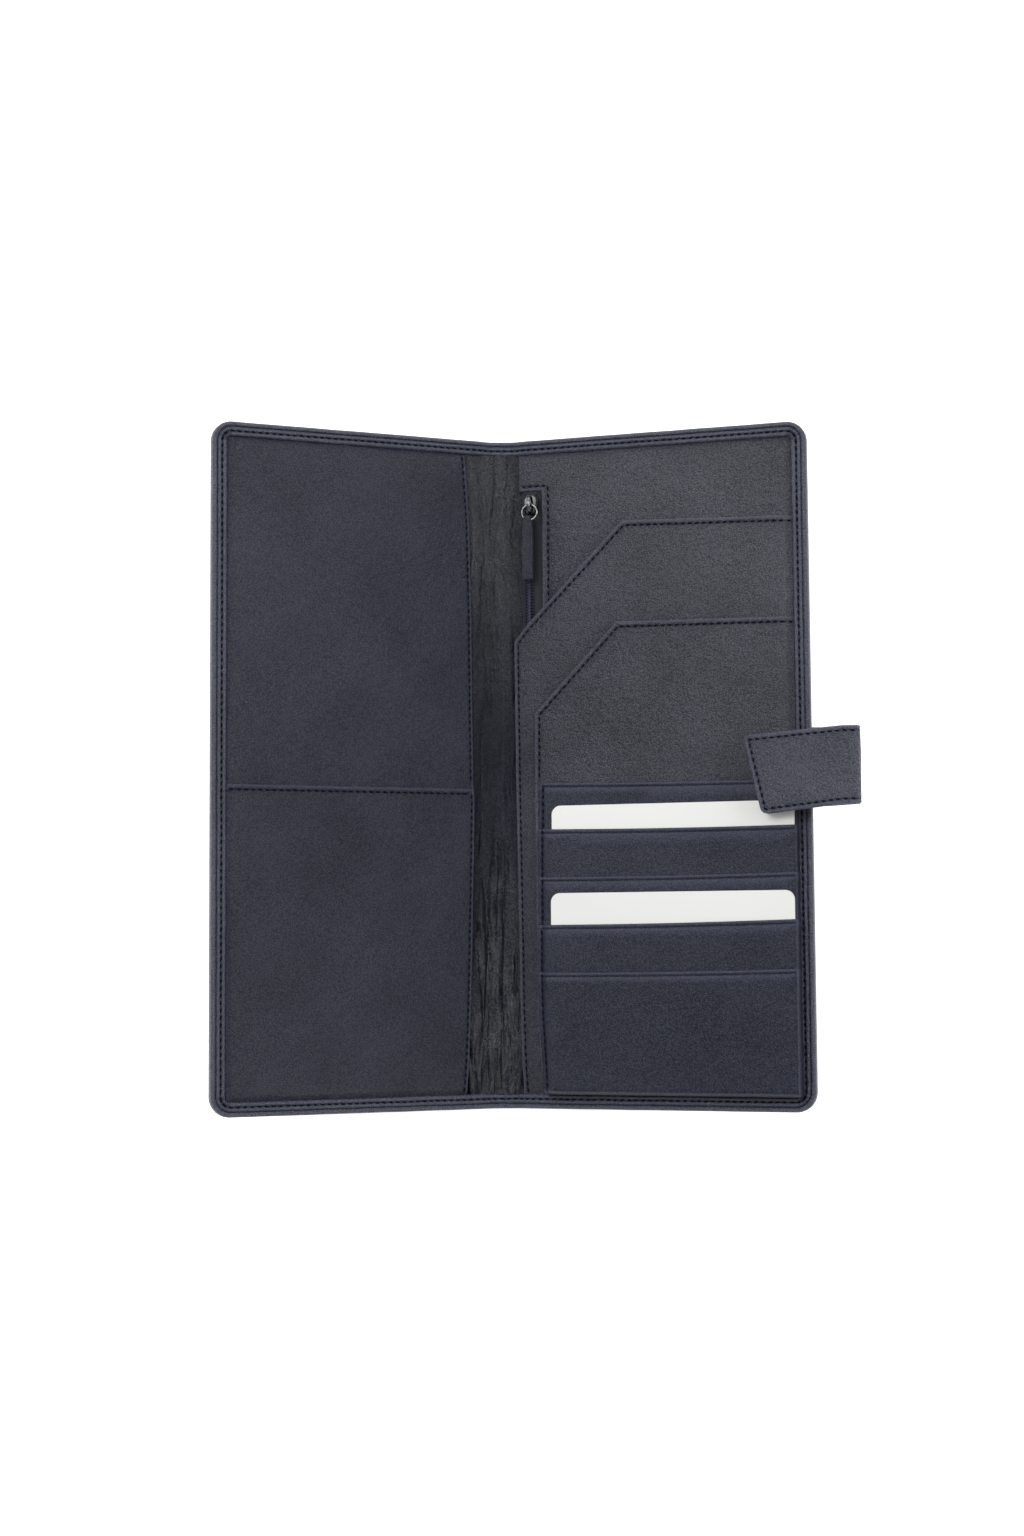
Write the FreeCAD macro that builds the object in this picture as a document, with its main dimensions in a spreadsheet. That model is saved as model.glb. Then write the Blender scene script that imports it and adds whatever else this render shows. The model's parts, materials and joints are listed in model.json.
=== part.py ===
"""Travel passport holder: a tall bifold wallet lying open on its spine, with both covers raised in a shallow V.

Frame: millimetres, +Z up, +Y towards the top of the wallet. The origin is the centre of the spine's underside.
The front cover lies towards -X and the back cover towards +X. Each cover is drawn flat in its own
coordinates: u outwards from the hinge line, y along the spine, n up through the layers from the
middle of the outer leather. Its placement then tilts it about the hinge line.
"""
import FreeCAD, Part
import math
import os
import Sketcher
from FreeCAD import Placement, Rotation, Vector

SIZES = {
    # covers and spine
    "wallet_height": 236.0,
    "hinge_spacing": 14.0,
    "front_width": 99.5,
    "back_width": 103.5,
    "cover_tilt": 20.0,
    "corner_radius": 7.0,
    "skin": 1.2,
    "core": 1.8,
    "front_board_thick": 1.4,
    "back_board_thick": 0.4,
    "lining_thick": 0.2,
    "fold_gap": 0.65,
    "inner_start": 1.75,
    "edge_wall": 1.2,
    "edge_lip": 5.2,
    "lip_thick": 0.8,
    "lip_corner": 2.0,
    "spine_inner_half": 4.0,
    "spine_layer": 0.6,
    "spine_lining_thick": 0.4,
    # thread
    "thread_wide": 0.5,
    "thread_high": 0.1,
    "seam_inset": 3.2,
    "pocket_seam": 1.7,
    # front cover pockets
    "sleeve_thick": 1.0,
    "sleeve_start": 5.2,
    "sleeve_flare": 7.8,
    "passport_top": -6.4,
    # back cover panels
    "panel_thick": 0.65,
    "pocket_thick": 0.6,
    "ticket_gap": 0.6,
    "note_gap": 0.2,
    "hem": 3.0,
    "zip_panel_start": 2.3,
    "window_side": 8.7,
    "window_top": 99.6,
    "window_bottom": 33.0,
    "ticket_start": 1.8,
    "ticket_top": 86.0,
    "ticket_corner": 38.0,
    "ticket_shoulder": 46.0,
    "note_start": 6.4,
    "note_top": 50.8,
    "note_corner": 36.0,
    "note_shoulder": 20.2,
    # card slots and cards
    "slot_start": 7.6,
    "slot_end": 99.3,
    "slot_thick": 0.4,
    "slot_hem": 3.6,
    "slot_side": 1.1,
    "slot_first": -4.7,
    "slot_pitch": 16.35,
    "card_long": 85.6,
    "card_wide": 53.98,
    "card_thick": 0.76,
    "card_corner": 3.18,
    "card_play": 0.05,
    "card_start": 12.4,
    "upper_card_top": -12.7,
    "lower_card_top": -43.2,
    # zip
    "zip_centre": 4.9,
    "tape_half": 3.1,
    "tape_thick": 0.3,
    "tooth_high": 0.9,
    "tooth_long": 1.7,
    "tooth_wide": 0.7,
    "tooth_pitch": 1.6,
    "slider_top": 98.0,
    "slider_long": 7.0,
    "slider_wide": 5.8,
    "slider_wall": 0.7,
    "slider_plate": 0.8,
    "bail_radius": 2.5,
    "bail_wire": 0.45,
    "ring_radius": 2.75,
    "ring_wire": 0.42,
    "ring_lift": 1.0,
    "puller_wide": 4.4,
    "puller_long": 23.0,
    "puller_thick": 1.4,
    # strap
    "strap_wide": 26.4,
    "strap_bottom": -14.8,
    "strap_leather": 0.8,
    "strap_start": 66.0,
    "strap_pivot_u": 105.0,
    "strap_reach": 15.0,
    "tip_hover": 9.5,
    "tip_leather": 0.9,
    "tip_left_top": 82.6,
    "tip_left_bottom": 88.8,
    "tip_drop": 2.7,
    "tip_skew": 3.7,
    "tip_corner": 2.0,
    # snap fastener
    "snap_u": 95.0,
    "snap_y": -5.2,
    "socket_radius": 5.0,
    "socket_high": 1.8,
    "socket_hole": 2.1,
    "post_radius": 2.4,
    "stud_radius": 1.8,
    "stud_long": 0.9,
    "flange_radius": 3.6,
    "flange_high": 0.4,
}

doc = FreeCAD.newDocument("PassportHolder")
sheet = doc.addObject("Spreadsheet::Sheet", "Sizes")
for row, (alias, number) in enumerate(SIZES.items(), start=1):
    sheet.set(f"A{row}", alias)
    sheet.set(f"B{row}", str(number))
    sheet.setAlias(f"B{row}", alias)
doc.recompute()


def size(alias):
    """A driving dimension, read back from the sheet."""
    return float(sheet.get(alias))


def sz(text):
    """A sheet expression: each alias in the text gets the sheet's name in front."""
    words = text.split()
    return " ".join("Sizes." + word if word in SIZES else word for word in words)


# Levels through each cover, as expressions of n.
SKIN_TOP = "skin / 2"
CORE_TOP = "( skin / 2 + core )"
PANEL_TOP = f"( {CORE_TOP} + panel_thick )"
TICKET_LOW = f"( {PANEL_TOP} + ticket_gap )"
TICKET_TOP = f"( {TICKET_LOW} + pocket_thick )"
NOTE_LOW = f"( {TICKET_TOP} + note_gap )"
NOTE_TOP = f"( {NOTE_LOW} + pocket_thick )"
SLEEVE_TOP = f"( {CORE_TOP} + sleeve_thick )"
PASSPORT_TOP = f"( {SLEEVE_TOP} + sleeve_thick )"
LIP_TOP = f"( {CORE_TOP} + lip_thick )"
CARD_GAP = "( card_thick + 2 * card_play )"
INSIDE = "( wallet_height / 2 - edge_lip )"
ZIP_LOW = f"( {CORE_TOP} + tape_thick )"
SLIDER_ROOF = f"( {ZIP_LOW} + tooth_high + 0.1 )"
SLIDER_TOP = f"( {SLIDER_ROOF} + slider_plate )"
RING_LEVEL = f"( {SLIDER_TOP} + ring_lift )"
STRAP_LOW = "( 0 - skin / 2 - 2 * strap_leather )"


def value(text):
    """The number that a sheet expression gives."""
    return float(sheet.evalExpression(sz(text)))


HINGE_HALF = size("hinge_spacing") / 2
HINGE_HEIGHT = size("skin") / 2
SPINE = Placement()
FRONT = Placement(Vector(-HINGE_HALF, 0, HINGE_HEIGHT), Rotation(Vector(0, 1, 0), size("cover_tilt")))
BACK = Placement(Vector(HINGE_HALF, 0, HINGE_HEIGHT), Rotation(Vector(0, -1, 0), size("cover_tilt")))
nodes = []


def keep(thing, label, place):
    """Name a finished sub-part, put it in its place and list it for export."""
    thing.Label = label
    thing.Placement = place
    nodes.append(thing)
    return thing


def origin_plane(body, role):
    return next(item for item in body.Origin.OriginFeatures if item.Role == role)


def draw_outline(sketch, corners):
    """A closed outline whose every corner is tied to the sheet by its two distances from the origin."""
    points = [Vector(value(x), value(y), 0) for x, y in corners]
    count = len(points)
    for index in range(count):
        sketch.addGeometry(Part.LineSegment(points[index], points[(index + 1) % count]), False)
    for index in range(count):
        sketch.addConstraint(Sketcher.Constraint("Coincident", index, 2, (index + 1) % count, 1))
    for index, (corner, point) in enumerate(zip(corners, points)):
        for kind, number, text in zip(("DistanceX", "DistanceY"), (point.x, point.y), corner):
            rule = sketch.addConstraint(Sketcher.Constraint(kind, -1, 1, index, 1, number))
            sketch.setExpression(f"Constraints[{rule}]", sz(text))


def pad_layer(body, name, corners, low, thick):
    """One pad of a body: a flat layer that starts at height low."""
    sketch = body.newObject("Sketcher::SketchObject", name + "_outline")
    sketch.AttachmentSupport = (origin_plane(body, "XY_Plane"), "")
    sketch.MapMode = "FlatFace"
    sketch.setExpression("AttachmentOffset.Base.z", sz(low))
    draw_outline(sketch, corners)
    pad = body.newObject("PartDesign::Pad", name + "_pad")
    pad.Profile = sketch
    pad.setExpression("Length", sz(thick))
    sketch.Visibility = False
    return pad


def near_corner(across, along):
    """A test for the upright edges whose plan position is at these two distances from the origin."""
    return lambda x, y: abs(abs(x) - across) < 0.01 and abs(abs(y) - along) < 0.01


def round_corners(body, name, radius, is_corner):
    """Round the upright edges whose plan position passes the test."""
    doc.recompute()
    base = body.Tip
    picked = []
    for number, edge in enumerate(base.Shape.Edges, start=1):
        first, last = edge.Vertexes[0].Point, edge.Vertexes[-1].Point
        upright = abs(first.x - last.x) < 1e-6 and abs(first.y - last.y) < 1e-6
        if upright and is_corner(first.x, first.y):
            picked.append(f"Edge{number}")
    fillet = body.newObject("PartDesign::Fillet", name + "_corners")
    fillet.Base = (base, picked)
    fillet.setExpression("Radius", sz(radius))


def layered(label, layers, place, rounds=()):
    """A sub-part made of flat layers, each (corners, low, thick), with rounds as (radius, edge test)."""
    body = doc.addObject("PartDesign::Body", label)
    for index, (corners, low, thick) in enumerate(layers):
        pad_layer(body, f"{label}_{index}", corners, low, thick)
    for radius, is_corner in rounds:
        round_corners(body, label, radius, is_corner)
    return keep(body, label, place)


def rectangle(left, right, bottom, top):
    return [(left, bottom), (right, bottom), (right, top), (left, top)]


def swept_thread(label, path, level, place):
    """A thin flat thread laid along a seam: a small rectangle swept along straight runs."""
    spine = doc.addObject("Sketcher::SketchObject", label + "_path")
    points = [Vector(value(x), value(y), 0) for x, y in path]
    for index in range(len(points) - 1):
        spine.addGeometry(Part.LineSegment(points[index], points[index + 1]), False)
        if index:
            spine.addConstraint(Sketcher.Constraint("Coincident", index - 1, 2, index, 1))
    ends = [(index, 1) for index in range(len(points) - 1)] + [(len(points) - 2, 2)]
    for (line, end), corner, point in zip(ends, path, points):
        for kind, number, text in zip(("DistanceX", "DistanceY"), (point.x, point.y), corner):
            rule = spine.addConstraint(Sketcher.Constraint(kind, -1, 1, line, end, number))
            spine.setExpression(f"Constraints[{rule}]", sz(text))
    spine.setExpression("Placement.Base.z", sz(level))
    profile = doc.addObject("Part::Plane", label + "_profile")
    profile.setExpression("Length", sz("thread_wide"))
    profile.setExpression("Width", sz("thread_high"))
    run = points[1] - points[0]
    across = Vector(run.y, -run.x, 0).normalize()
    start = points[0] - across * (size("thread_wide") / 2) + Vector(0, 0, value(level))
    profile.Placement = Placement(start, Rotation(across, Vector(0, 0, 1), Vector(0, 0, 0), "XYZ"))
    sweep = doc.addObject("Part::Sweep", label)
    sweep.Sections = [profile]
    sweep.Spine = (spine, [f"Edge{index + 1}" for index in range(len(points) - 1)])
    sweep.Solid = True
    sweep.Transition = "Right corner"
    return keep(sweep, label, place)


def cylinder(name, radius, height, at):
    """A plain upright cylinder whose base centre is at a point of (u, y, n) expressions."""
    item = doc.addObject("Part::Cylinder", name)
    item.setExpression("Radius", sz(radius))
    item.setExpression("Height", sz(height))
    for axis, text in zip("xyz", at):
        item.setExpression(f"Placement.Base.{axis}", sz(text))
    return item


def boolean(kind, label, base, tool, place):
    item = doc.addObject(kind, label)
    item.Base = base
    item.Tool = tool
    return keep(item, label, place)


def compound(label, shapes, place):
    """Several alike solids that share one node."""
    group = doc.addObject("Part::Feature", label)
    group.Shape = Part.makeCompound(shapes)
    return keep(group, label, place)


# ---------------------------------------------------------------- spine
def build_spine():
    """Outer leather, a flexible interlining, the inner lining and its turned ends."""
    half = "wallet_height / 2"
    wide = "( hinge_spacing / 2 - fold_gap )"
    narrow = "spine_inner_half"
    inner = "skin + spine_layer"
    outer = rectangle(f"0 - {wide}", wide, f"0 - {half}", half)
    layered("spine_outer_leather", [(outer, "0", "skin")], SPINE)
    middle = rectangle(f"0 - {narrow}", narrow, f"0 - {INSIDE}", INSIDE)
    layered("spine_interlining", [(middle, "skin", "spine_layer")], SPINE)
    layered("spine_lining", [(middle, inner, "spine_lining_thick")], SPINE)
    full = "( spine_layer + spine_lining_thick )"
    for name, bottom, top in (("top", INSIDE, half), ("bottom", f"0 - {half}", f"0 - {INSIDE}")):
        strip = rectangle(f"0 - {narrow}", narrow, bottom, top)
        layered(f"spine_{name}_binding", [(strip, "skin", full)], SPINE)
    seam = "( wallet_height / 2 - seam_inset )"
    for name, height in (("top", seam), ("bottom", f"0 - {seam}")):
        path = [("0 - spine_inner_half", height), ("spine_inner_half", height)]
        swept_thread(f"spine_{name}_stitching", path, f"skin + {full}", SPINE)


# ---------------------------------------------------------------- both covers
def edge_frame(side, width, inset, start):
    """A U-shaped outline round a cover's three free edges."""
    half, inner = "( wallet_height / 2 )", f"( wallet_height / 2 - {inset} )"
    near, out, edge = f"{side} * {start}", f"{side} * {width}", f"{side} * ( {width} - {inset} )"
    return [
        (near, half), (out, half), (out, f"0 - {half}"), (near, f"0 - {half}"),
        (near, f"0 - {inner}"), (edge, f"0 - {inner}"), (edge, inner), (near, inner),
    ]


def lip_corner_round(width):
    """The round that the binding's lip and the panels inside it share at a cover's outer corners."""
    inset = size("edge_lip")
    return "lip_corner", near_corner(size(width) - inset, size("wallet_height") / 2 - inset)


def build_cover(name, side, place, board_thick):
    """The parts that both covers share, from the outside in."""
    width = f"{name}_width"
    high = size("wallet_height") / 2
    wall, reach = size("edge_wall"), size(width)
    half = "( wallet_height / 2 )"
    skin = rectangle(f"{side} * fold_gap", f"{side} * {width}", f"0 - {half}", half)
    outer_round = ("corner_radius", near_corner(reach, high))
    leather = layered(f"{name}_leather", [(skin, "0 - skin / 2", "skin")], place, [outer_round])
    inside = "( wallet_height / 2 - edge_wall )"
    plate = rectangle(f"{side} * inner_start", f"{side} * ( {width} - edge_wall )", f"0 - {inside}", inside)
    inner_round = ("corner_radius - edge_wall", near_corner(reach - wall, high - wall))
    padding = f"( core - {board_thick} - lining_thick )"
    board = layered(f"{name}_stiffener", [(plate, SKIN_TOP, board_thick)], place, [inner_round])
    layered(f"{name}_padding", [(plate, f"{SKIN_TOP} + {board_thick}", padding)], place, [inner_round])
    layered(f"{name}_lining", [(plate, f"{CORE_TOP} - lining_thick", "lining_thick")], place, [inner_round])
    lip_round = lip_corner_round(width)
    binding = [(edge_frame(side, width, "edge_wall", "inner_start"), SKIN_TOP, "core"),
               (edge_frame(side, width, "edge_lip", "inner_start"), CORE_TOP, "lip_thick")]
    layered(f"{name}_edge_binding", binding, place, [inner_round, lip_round, outer_round])
    run, rise = f"{side} * ( {width} - seam_inset )", "( wallet_height / 2 - seam_inset )"
    near = f"{side} * ( inner_start + 0.5 )"
    path = [(near, rise), (run, rise), (run, f"0 - {rise}"), (near, f"0 - {rise}")]
    swept_thread(f"{name}_edge_stitching", path, LIP_TOP, place)
    return leather, board


# ---------------------------------------------------------------- front cover
def build_front():
    """The front cover with its full-height boarding pass sleeve and the passport pocket on it."""
    leather, board = build_cover("front", -1, FRONT, "front_board_thick")
    pierce_for_snap(leather, board)
    edge = "0 - ( front_width - edge_lip )"
    start, flare = "0 - sleeve_start", "0 - sleeve_flare"
    swell = "wallet_height / 4"
    sleeve = [(edge, INSIDE), (edge, f"0 - {INSIDE}"), (flare, f"0 - {INSIDE}"),
              (start, f"0 - {swell}"), (start, swell), (flare, INSIDE)]
    layered("boarding_sleeve", [(sleeve, CORE_TOP, "sleeve_thick")], FRONT, [lip_corner_round("front_width")])
    inset = "sleeve_start + pocket_seam - 0.6"
    flared = "sleeve_flare + pocket_seam - 0.6"
    path = [(f"0 - {flared}", INSIDE), (f"0 - ( {inset} )", swell), (f"0 - ( {inset} )", "passport_top + 0.2")]
    swept_thread("sleeve_stitching", path, SLEEVE_TOP, FRONT)
    passport = [(edge, "passport_top"), (edge, f"0 - {INSIDE}"), (flare, f"0 - {INSIDE}"),
                (start, f"0 - {swell}"), (start, "passport_top")]
    layered("passport_pocket", [(passport, SLEEVE_TOP, "sleeve_thick")], FRONT,
            [lip_corner_round("front_width")])
    low = "passport_top - pocket_seam"
    path = [(edge, low), (f"0 - ( {inset} )", low), (f"0 - ( {inset} )", f"0 - {swell}"),
            (f"0 - ( {flared} )", f"0 - {INSIDE}")]
    swept_thread("passport_pocket_stitching", path, PASSPORT_TOP, FRONT)


def pierce_for_snap(leather, board):
    """Hole in the outer leather and the stiffener for the snap socket's post, and the socket itself."""
    at = [f"0 - ( {snap_closed_u()} )", "snap_y"]
    for body in (leather, board):
        sketch = body.newObject("Sketcher::SketchObject", body.Name + "_snap_hole")
        sketch.AttachmentSupport = (origin_plane(body, "XY_Plane"), "")
        sketch.MapMode = "FlatFace"
        centre = Vector(value(at[0]), value(at[1]), 0)
        sketch.addGeometry(Part.Circle(centre, Vector(0, 0, 1), size("post_radius")), False)
        for kind, number, text in zip(("DistanceX", "DistanceY"), (centre.x, centre.y), at):
            rule = sketch.addConstraint(Sketcher.Constraint(kind, -1, 1, 0, 3, number))
            sketch.setExpression(f"Constraints[{rule}]", sz(text))
        rule = sketch.addConstraint(Sketcher.Constraint("Radius", 0, size("post_radius")))
        sketch.setExpression(f"Constraints[{rule}]", sz("post_radius"))
        pocket = body.newObject("PartDesign::Pocket", body.Name + "_snap_pocket")
        pocket.Profile = sketch
        pocket.Type = "ThroughAll"
        pocket.Midplane = True
        sketch.Visibility = False
    low = "0 - skin / 2 - socket_high"
    ring = cylinder("socket_ring", "socket_radius", "socket_high", (*at, low))
    bore = cylinder("socket_bore", "socket_hole", "socket_high", (*at, low))
    boolean("Part::Cut", "snap_socket", ring, bore, FRONT)
    through = "skin + front_board_thick"
    barrel = cylinder("post_barrel", "post_radius", through, (*at, "0 - skin / 2"))
    hollow = cylinder("post_hollow", "post_radius / 2", through, (*at, "0 - skin / 2"))
    boolean("Part::Cut", "snap_socket_post", barrel, hollow, FRONT)


# ---------------------------------------------------------------- back cover
def build_back():
    """The back cover: zip pocket panel, two slanted pockets, five card slots and the strap's root."""
    build_cover("back", 1, BACK, "back_board_thick")
    build_zip_panel()
    build_slanted_pockets()
    build_card_slots()
    build_strap_root()


def build_zip_panel():
    edge = "( back_width - edge_lip )"
    start, side = "zip_panel_start", "window_side"
    panel = [(start, INSIDE), (edge, INSIDE), (edge, f"0 - {INSIDE}"), (start, f"0 - {INSIDE}"),
             (start, "window_bottom"), (side, "window_bottom"), (side, "window_top"), (start, "window_top")]
    layered("zip_panel", [(panel, CORE_TOP, "panel_thick")], BACK, [lip_corner_round("back_width")])
    run, rise = "window_side + pocket_seam", "window_top + pocket_seam"
    path = [("zip_panel_start + 0.3", rise), (run, rise), (run, "ticket_shoulder + 12")]
    swept_thread("zip_panel_stitching", path, PANEL_TOP, BACK)
    left, right = "zip_centre - tape_half", "zip_centre + tape_half"
    tape = rectangle(left, right, "window_bottom + 0.5", "window_top - 0.2")
    layered("zip_tape", [(tape, CORE_TOP, "tape_thick")], BACK)
    compound("zip_teeth", coil_teeth(), BACK)
    stops = [stop_block(size("window_top") - 1.2), stop_block(size("window_bottom") + 1.0)]
    compound("zip_end_stops", stops, BACK)


def stop_block(low):
    """A small metal stop across both rows of teeth."""
    block = Part.makeBox(2 * size("tooth_long"), 0.9, size("tooth_high"))
    block.translate(Vector(size("zip_centre") - size("tooth_long"), low, value(ZIP_LOW)))
    return block


def coil_teeth():
    """Two facing rows of teeth, half a pitch apart."""
    first, last = size("window_bottom") + 2.2, size("window_top") - 1.4
    teeth = []
    count = int((last - first) / size("tooth_pitch"))
    for index in range(count):
        for row, lean in ((0, -size("tooth_long")), (1, -0.2)):
            tooth = Part.makeBox(size("tooth_long") + 0.2, size("tooth_wide"), size("tooth_high"))
            along = first + (index + row / 2) * size("tooth_pitch")
            tooth.translate(Vector(size("zip_centre") + lean, along, value(ZIP_LOW)))
            teeth.append(tooth)
    return teeth


def slanted_pocket(name, start, foot_bottom, gap, extra):
    """A pocket with a slanted mouth, raised on a hem along its sewn sides so that papers can slip in."""
    edge, base = "( back_width - edge_lip )", f"0 - {INSIDE}"
    mouth = [(f"{name}_corner", f"{name}_top"), (start, f"{name}_shoulder"), (start, base),
             (edge, base), (edge, f"{name}_top - 0.9")]
    hem = [(start, extra), (start, base), (edge, base), (edge, f"{name}_top - 2"),
           (f"{edge} - hem", f"{name}_top - 2"), (f"{edge} - hem", f"{base} + hem"),
           (f"{start} + hem", f"{base} + hem"), (f"{start} + hem", extra)]
    layers = [(hem, foot_bottom, gap), (mouth, f"{foot_bottom} + {gap}", "pocket_thick")]
    layered(f"{name}_pocket", layers, BACK, [lip_corner_round("back_width")])


def slanted_seam(name, start, level, lowest, far):
    """The seam beside a slanted mouth, the same distance inside it all the way."""
    inset = size("pocket_seam")
    run = Vector(size(f"{name}_corner") - size(start), size(f"{name}_top") - size(f"{name}_shoulder"), 0)
    lean = math.atan2(run.y, run.x)
    shoulder = inset * math.tan((math.pi / 2 - lean) / 2)
    corner = inset * math.tan(lean / 2)
    path = [(f"{start} + {inset}", lowest), (f"{start} + {inset}", f"{name}_shoulder - {shoulder:.3f}"),
            (f"{name}_corner + {corner:.3f}", f"{name}_top - {inset}"), (far, f"{name}_top - {inset} - 0.9")]
    swept_thread(f"{name}_pocket_stitching", path, level, BACK)


def build_slanted_pockets():
    slanted_pocket("ticket", "ticket_start", PANEL_TOP, "ticket_gap", "window_bottom - 1")
    slanted_seam("ticket", "ticket_start", TICKET_TOP, f"0 - {INSIDE} + 0.5", "back_width - edge_lip - 0.5")
    slanted_pocket("note", "note_start", TICKET_TOP, "note_gap", "note_shoulder")
    slanted_seam("note", "note_start", NOTE_TOP, "slot_first + 0.3", "back_width - edge_lip - 0.5")


def slot_levels():
    """The underside, hem height and top of each card slot: a card fits behind the second and fourth."""
    level, levels = NOTE_TOP, []
    for number in range(1, 6):
        gap = CARD_GAP if number in (2, 4) else None
        low = f"( {level} + {gap} )" if gap else level
        levels.append((level, gap, low))
        level = f"( {low} + slot_thick )"
    return levels, level


def build_card_slots():
    levels, _ = slot_levels()
    base = f"0 - {INSIDE}"
    threads = []
    for number, (foot, gap, low) in enumerate(levels, start=1):
        top = f"( slot_first - {number - 1} * slot_pitch )"
        plate = rectangle("slot_start", "slot_end", base, top)
        layers = [(plate, low, "slot_thick")]
        if gap:
            inner, outer = "slot_start + slot_hem", "slot_end - slot_side"
            hem = [("slot_start", top), ("slot_start", base), ("slot_end", base), ("slot_end", top),
                   (outer, top), (outer, f"{base} + slot_hem"), (inner, f"{base} + slot_hem"), (inner, top)]
            layers.insert(0, (hem, foot, gap))
        layered(f"card_slot_{number}", layers, BACK)
        threads.append(slot_thread(number, value(f"{low} + slot_thick"), value(top)))
    compound("card_slot_stitching", threads, BACK)


def slot_thread(number, level, top):
    """The side seam's thread on the part of one slot that shows."""
    lowest = value(f"0 - {INSIDE}") + 0.5
    below = top - size("slot_pitch") + 0.3 if number < 5 else lowest
    thread = Part.makeBox(size("thread_wide"), top - 0.3 - below, size("thread_high"))
    thread.translate(Vector(size("slot_start") + 1.4, below, level))
    return thread


def build_strap_root():
    low, high = "strap_bottom", "strap_bottom + strap_wide"
    root = rectangle("strap_start", "strap_pivot_u - 1", low, high)
    layered("strap_root", [(root, STRAP_LOW, "2 * strap_leather")], BACK,
            [("tip_corner", lambda x, y: x < size("strap_start") + 1)])
    near, far = "strap_start + pocket_seam", "strap_pivot_u - 3"
    down, up = f"{low} + pocket_seam", f"{high} - pocket_seam"
    path = [(far, down), (near, down), (near, up), (far, up)]
    swept_thread("strap_root_stitching", path, f"{STRAP_LOW} - thread_high", BACK)


# ---------------------------------------------------------------- cards
def build_card(name, top, behind):
    """A standard plastic card standing behind one of the slots."""
    levels, _ = slot_levels()
    low = f"{levels[behind - 1][0]} + card_play"
    outline = rectangle("card_start", "card_start + card_long", f"{top} - card_wide", top)
    layered(name, [(outline, low, "card_thick")], BACK, [("card_corner", lambda x, y: True)])


# ---------------------------------------------------------------- zip slider and puller
def build_slider():
    """A slider that straddles the teeth, with an arched bail for the puller's ring."""
    left, right = "zip_centre - slider_wide / 2", "zip_centre + slider_wide / 2"
    low, high = "slider_top - slider_long", "slider_top"
    flank = f"( {SLIDER_ROOF} - {ZIP_LOW} - 0.1 )"
    layers = [
        (rectangle(left, right, low, high), SLIDER_ROOF, "slider_plate"),
        (rectangle(left, f"{left} + slider_wall", low, high), f"{ZIP_LOW} + 0.1", flank),
        (rectangle(f"{right} - slider_wall", right, low, high), f"{ZIP_LOW} + 0.1", flank),
    ]
    layered("slider_body", layers, BACK)
    bail = doc.addObject("Part::Torus", "slider_bail")
    bail.setExpression("Radius1", sz("bail_radius"))
    bail.setExpression("Radius2", sz("bail_wire"))
    bail.Angle3 = 180
    middle = Vector(size("zip_centre"), value("slider_top - slider_long / 2"), value(SLIDER_TOP))
    upright = Placement(middle, Rotation(Vector(0, 1, 0), Vector(0, 0, 1), Vector(1, 0, 0), "XYZ"))
    keep(bail, "slider_bail", BACK * upright)


def ring_pivot():
    """The point where the ring hangs on the bail."""
    return Vector(size("zip_centre"), value("slider_top - slider_long / 2"), value(RING_LEVEL))


def build_puller():
    """A round ring through the bail and a folded leather tab hanging from it."""
    centre = ring_pivot() - Vector(0, size("ring_radius"), 0)
    ring = doc.addObject("Part::Torus", "puller_ring")
    ring.setExpression("Radius1", sz("ring_radius"))
    ring.setExpression("Radius2", sz("ring_wire"))
    keep(ring, "puller_ring", BACK * Placement(centre, Rotation()))
    tab_centre = value("ticket_start + puller_wide / 2 + 0.1")
    tab = doc.addObject("Part::Box", "tab_leather")
    tab.setExpression("Length", sz("puller_wide"))
    tab.setExpression("Width", sz("puller_long"))
    tab.setExpression("Height", sz("puller_thick"))
    top = centre.y - size("ring_radius") + 1.6
    tab.Placement.Base = Vector(tab_centre - size("puller_wide") / 2, top - size("puller_long"),
                                centre.z - size("puller_thick") / 2)
    channel = doc.addObject("Part::Torus", "tab_channel")
    channel.setExpression("Radius1", sz("ring_radius"))
    channel.setExpression("Radius2", sz("ring_wire + 0.1"))
    channel.Placement.Base = centre
    boolean("Part::Cut", "puller_tab", tab, channel, BACK)


# ---------------------------------------------------------------- strap
def strap_geometry():
    """Length of the bridging strap and its lean at rest and when it closes over the front cover."""
    low = value(f"{STRAP_LOW} + strap_leather")
    rise = value("tip_hover - strap_leather") - 0.05 - low
    length = math.hypot(size("strap_reach"), rise)
    closed_tip = value("hinge_spacing + skin / 2 + socket_high + flange_high + 0.05")
    closed_rise = closed_tip - size("strap_leather") - 0.05 - low
    rest, closed = math.asin(rise / length), math.asin(closed_rise / length)
    return low, length, rest, closed


def snap_closed_u():
    """How far out along the front cover the snap lies once the strap has swung over."""
    _, length, rest, closed = strap_geometry()
    return f"snap_u - {length * (math.cos(rest) - math.cos(closed)):.3f}"


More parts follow.
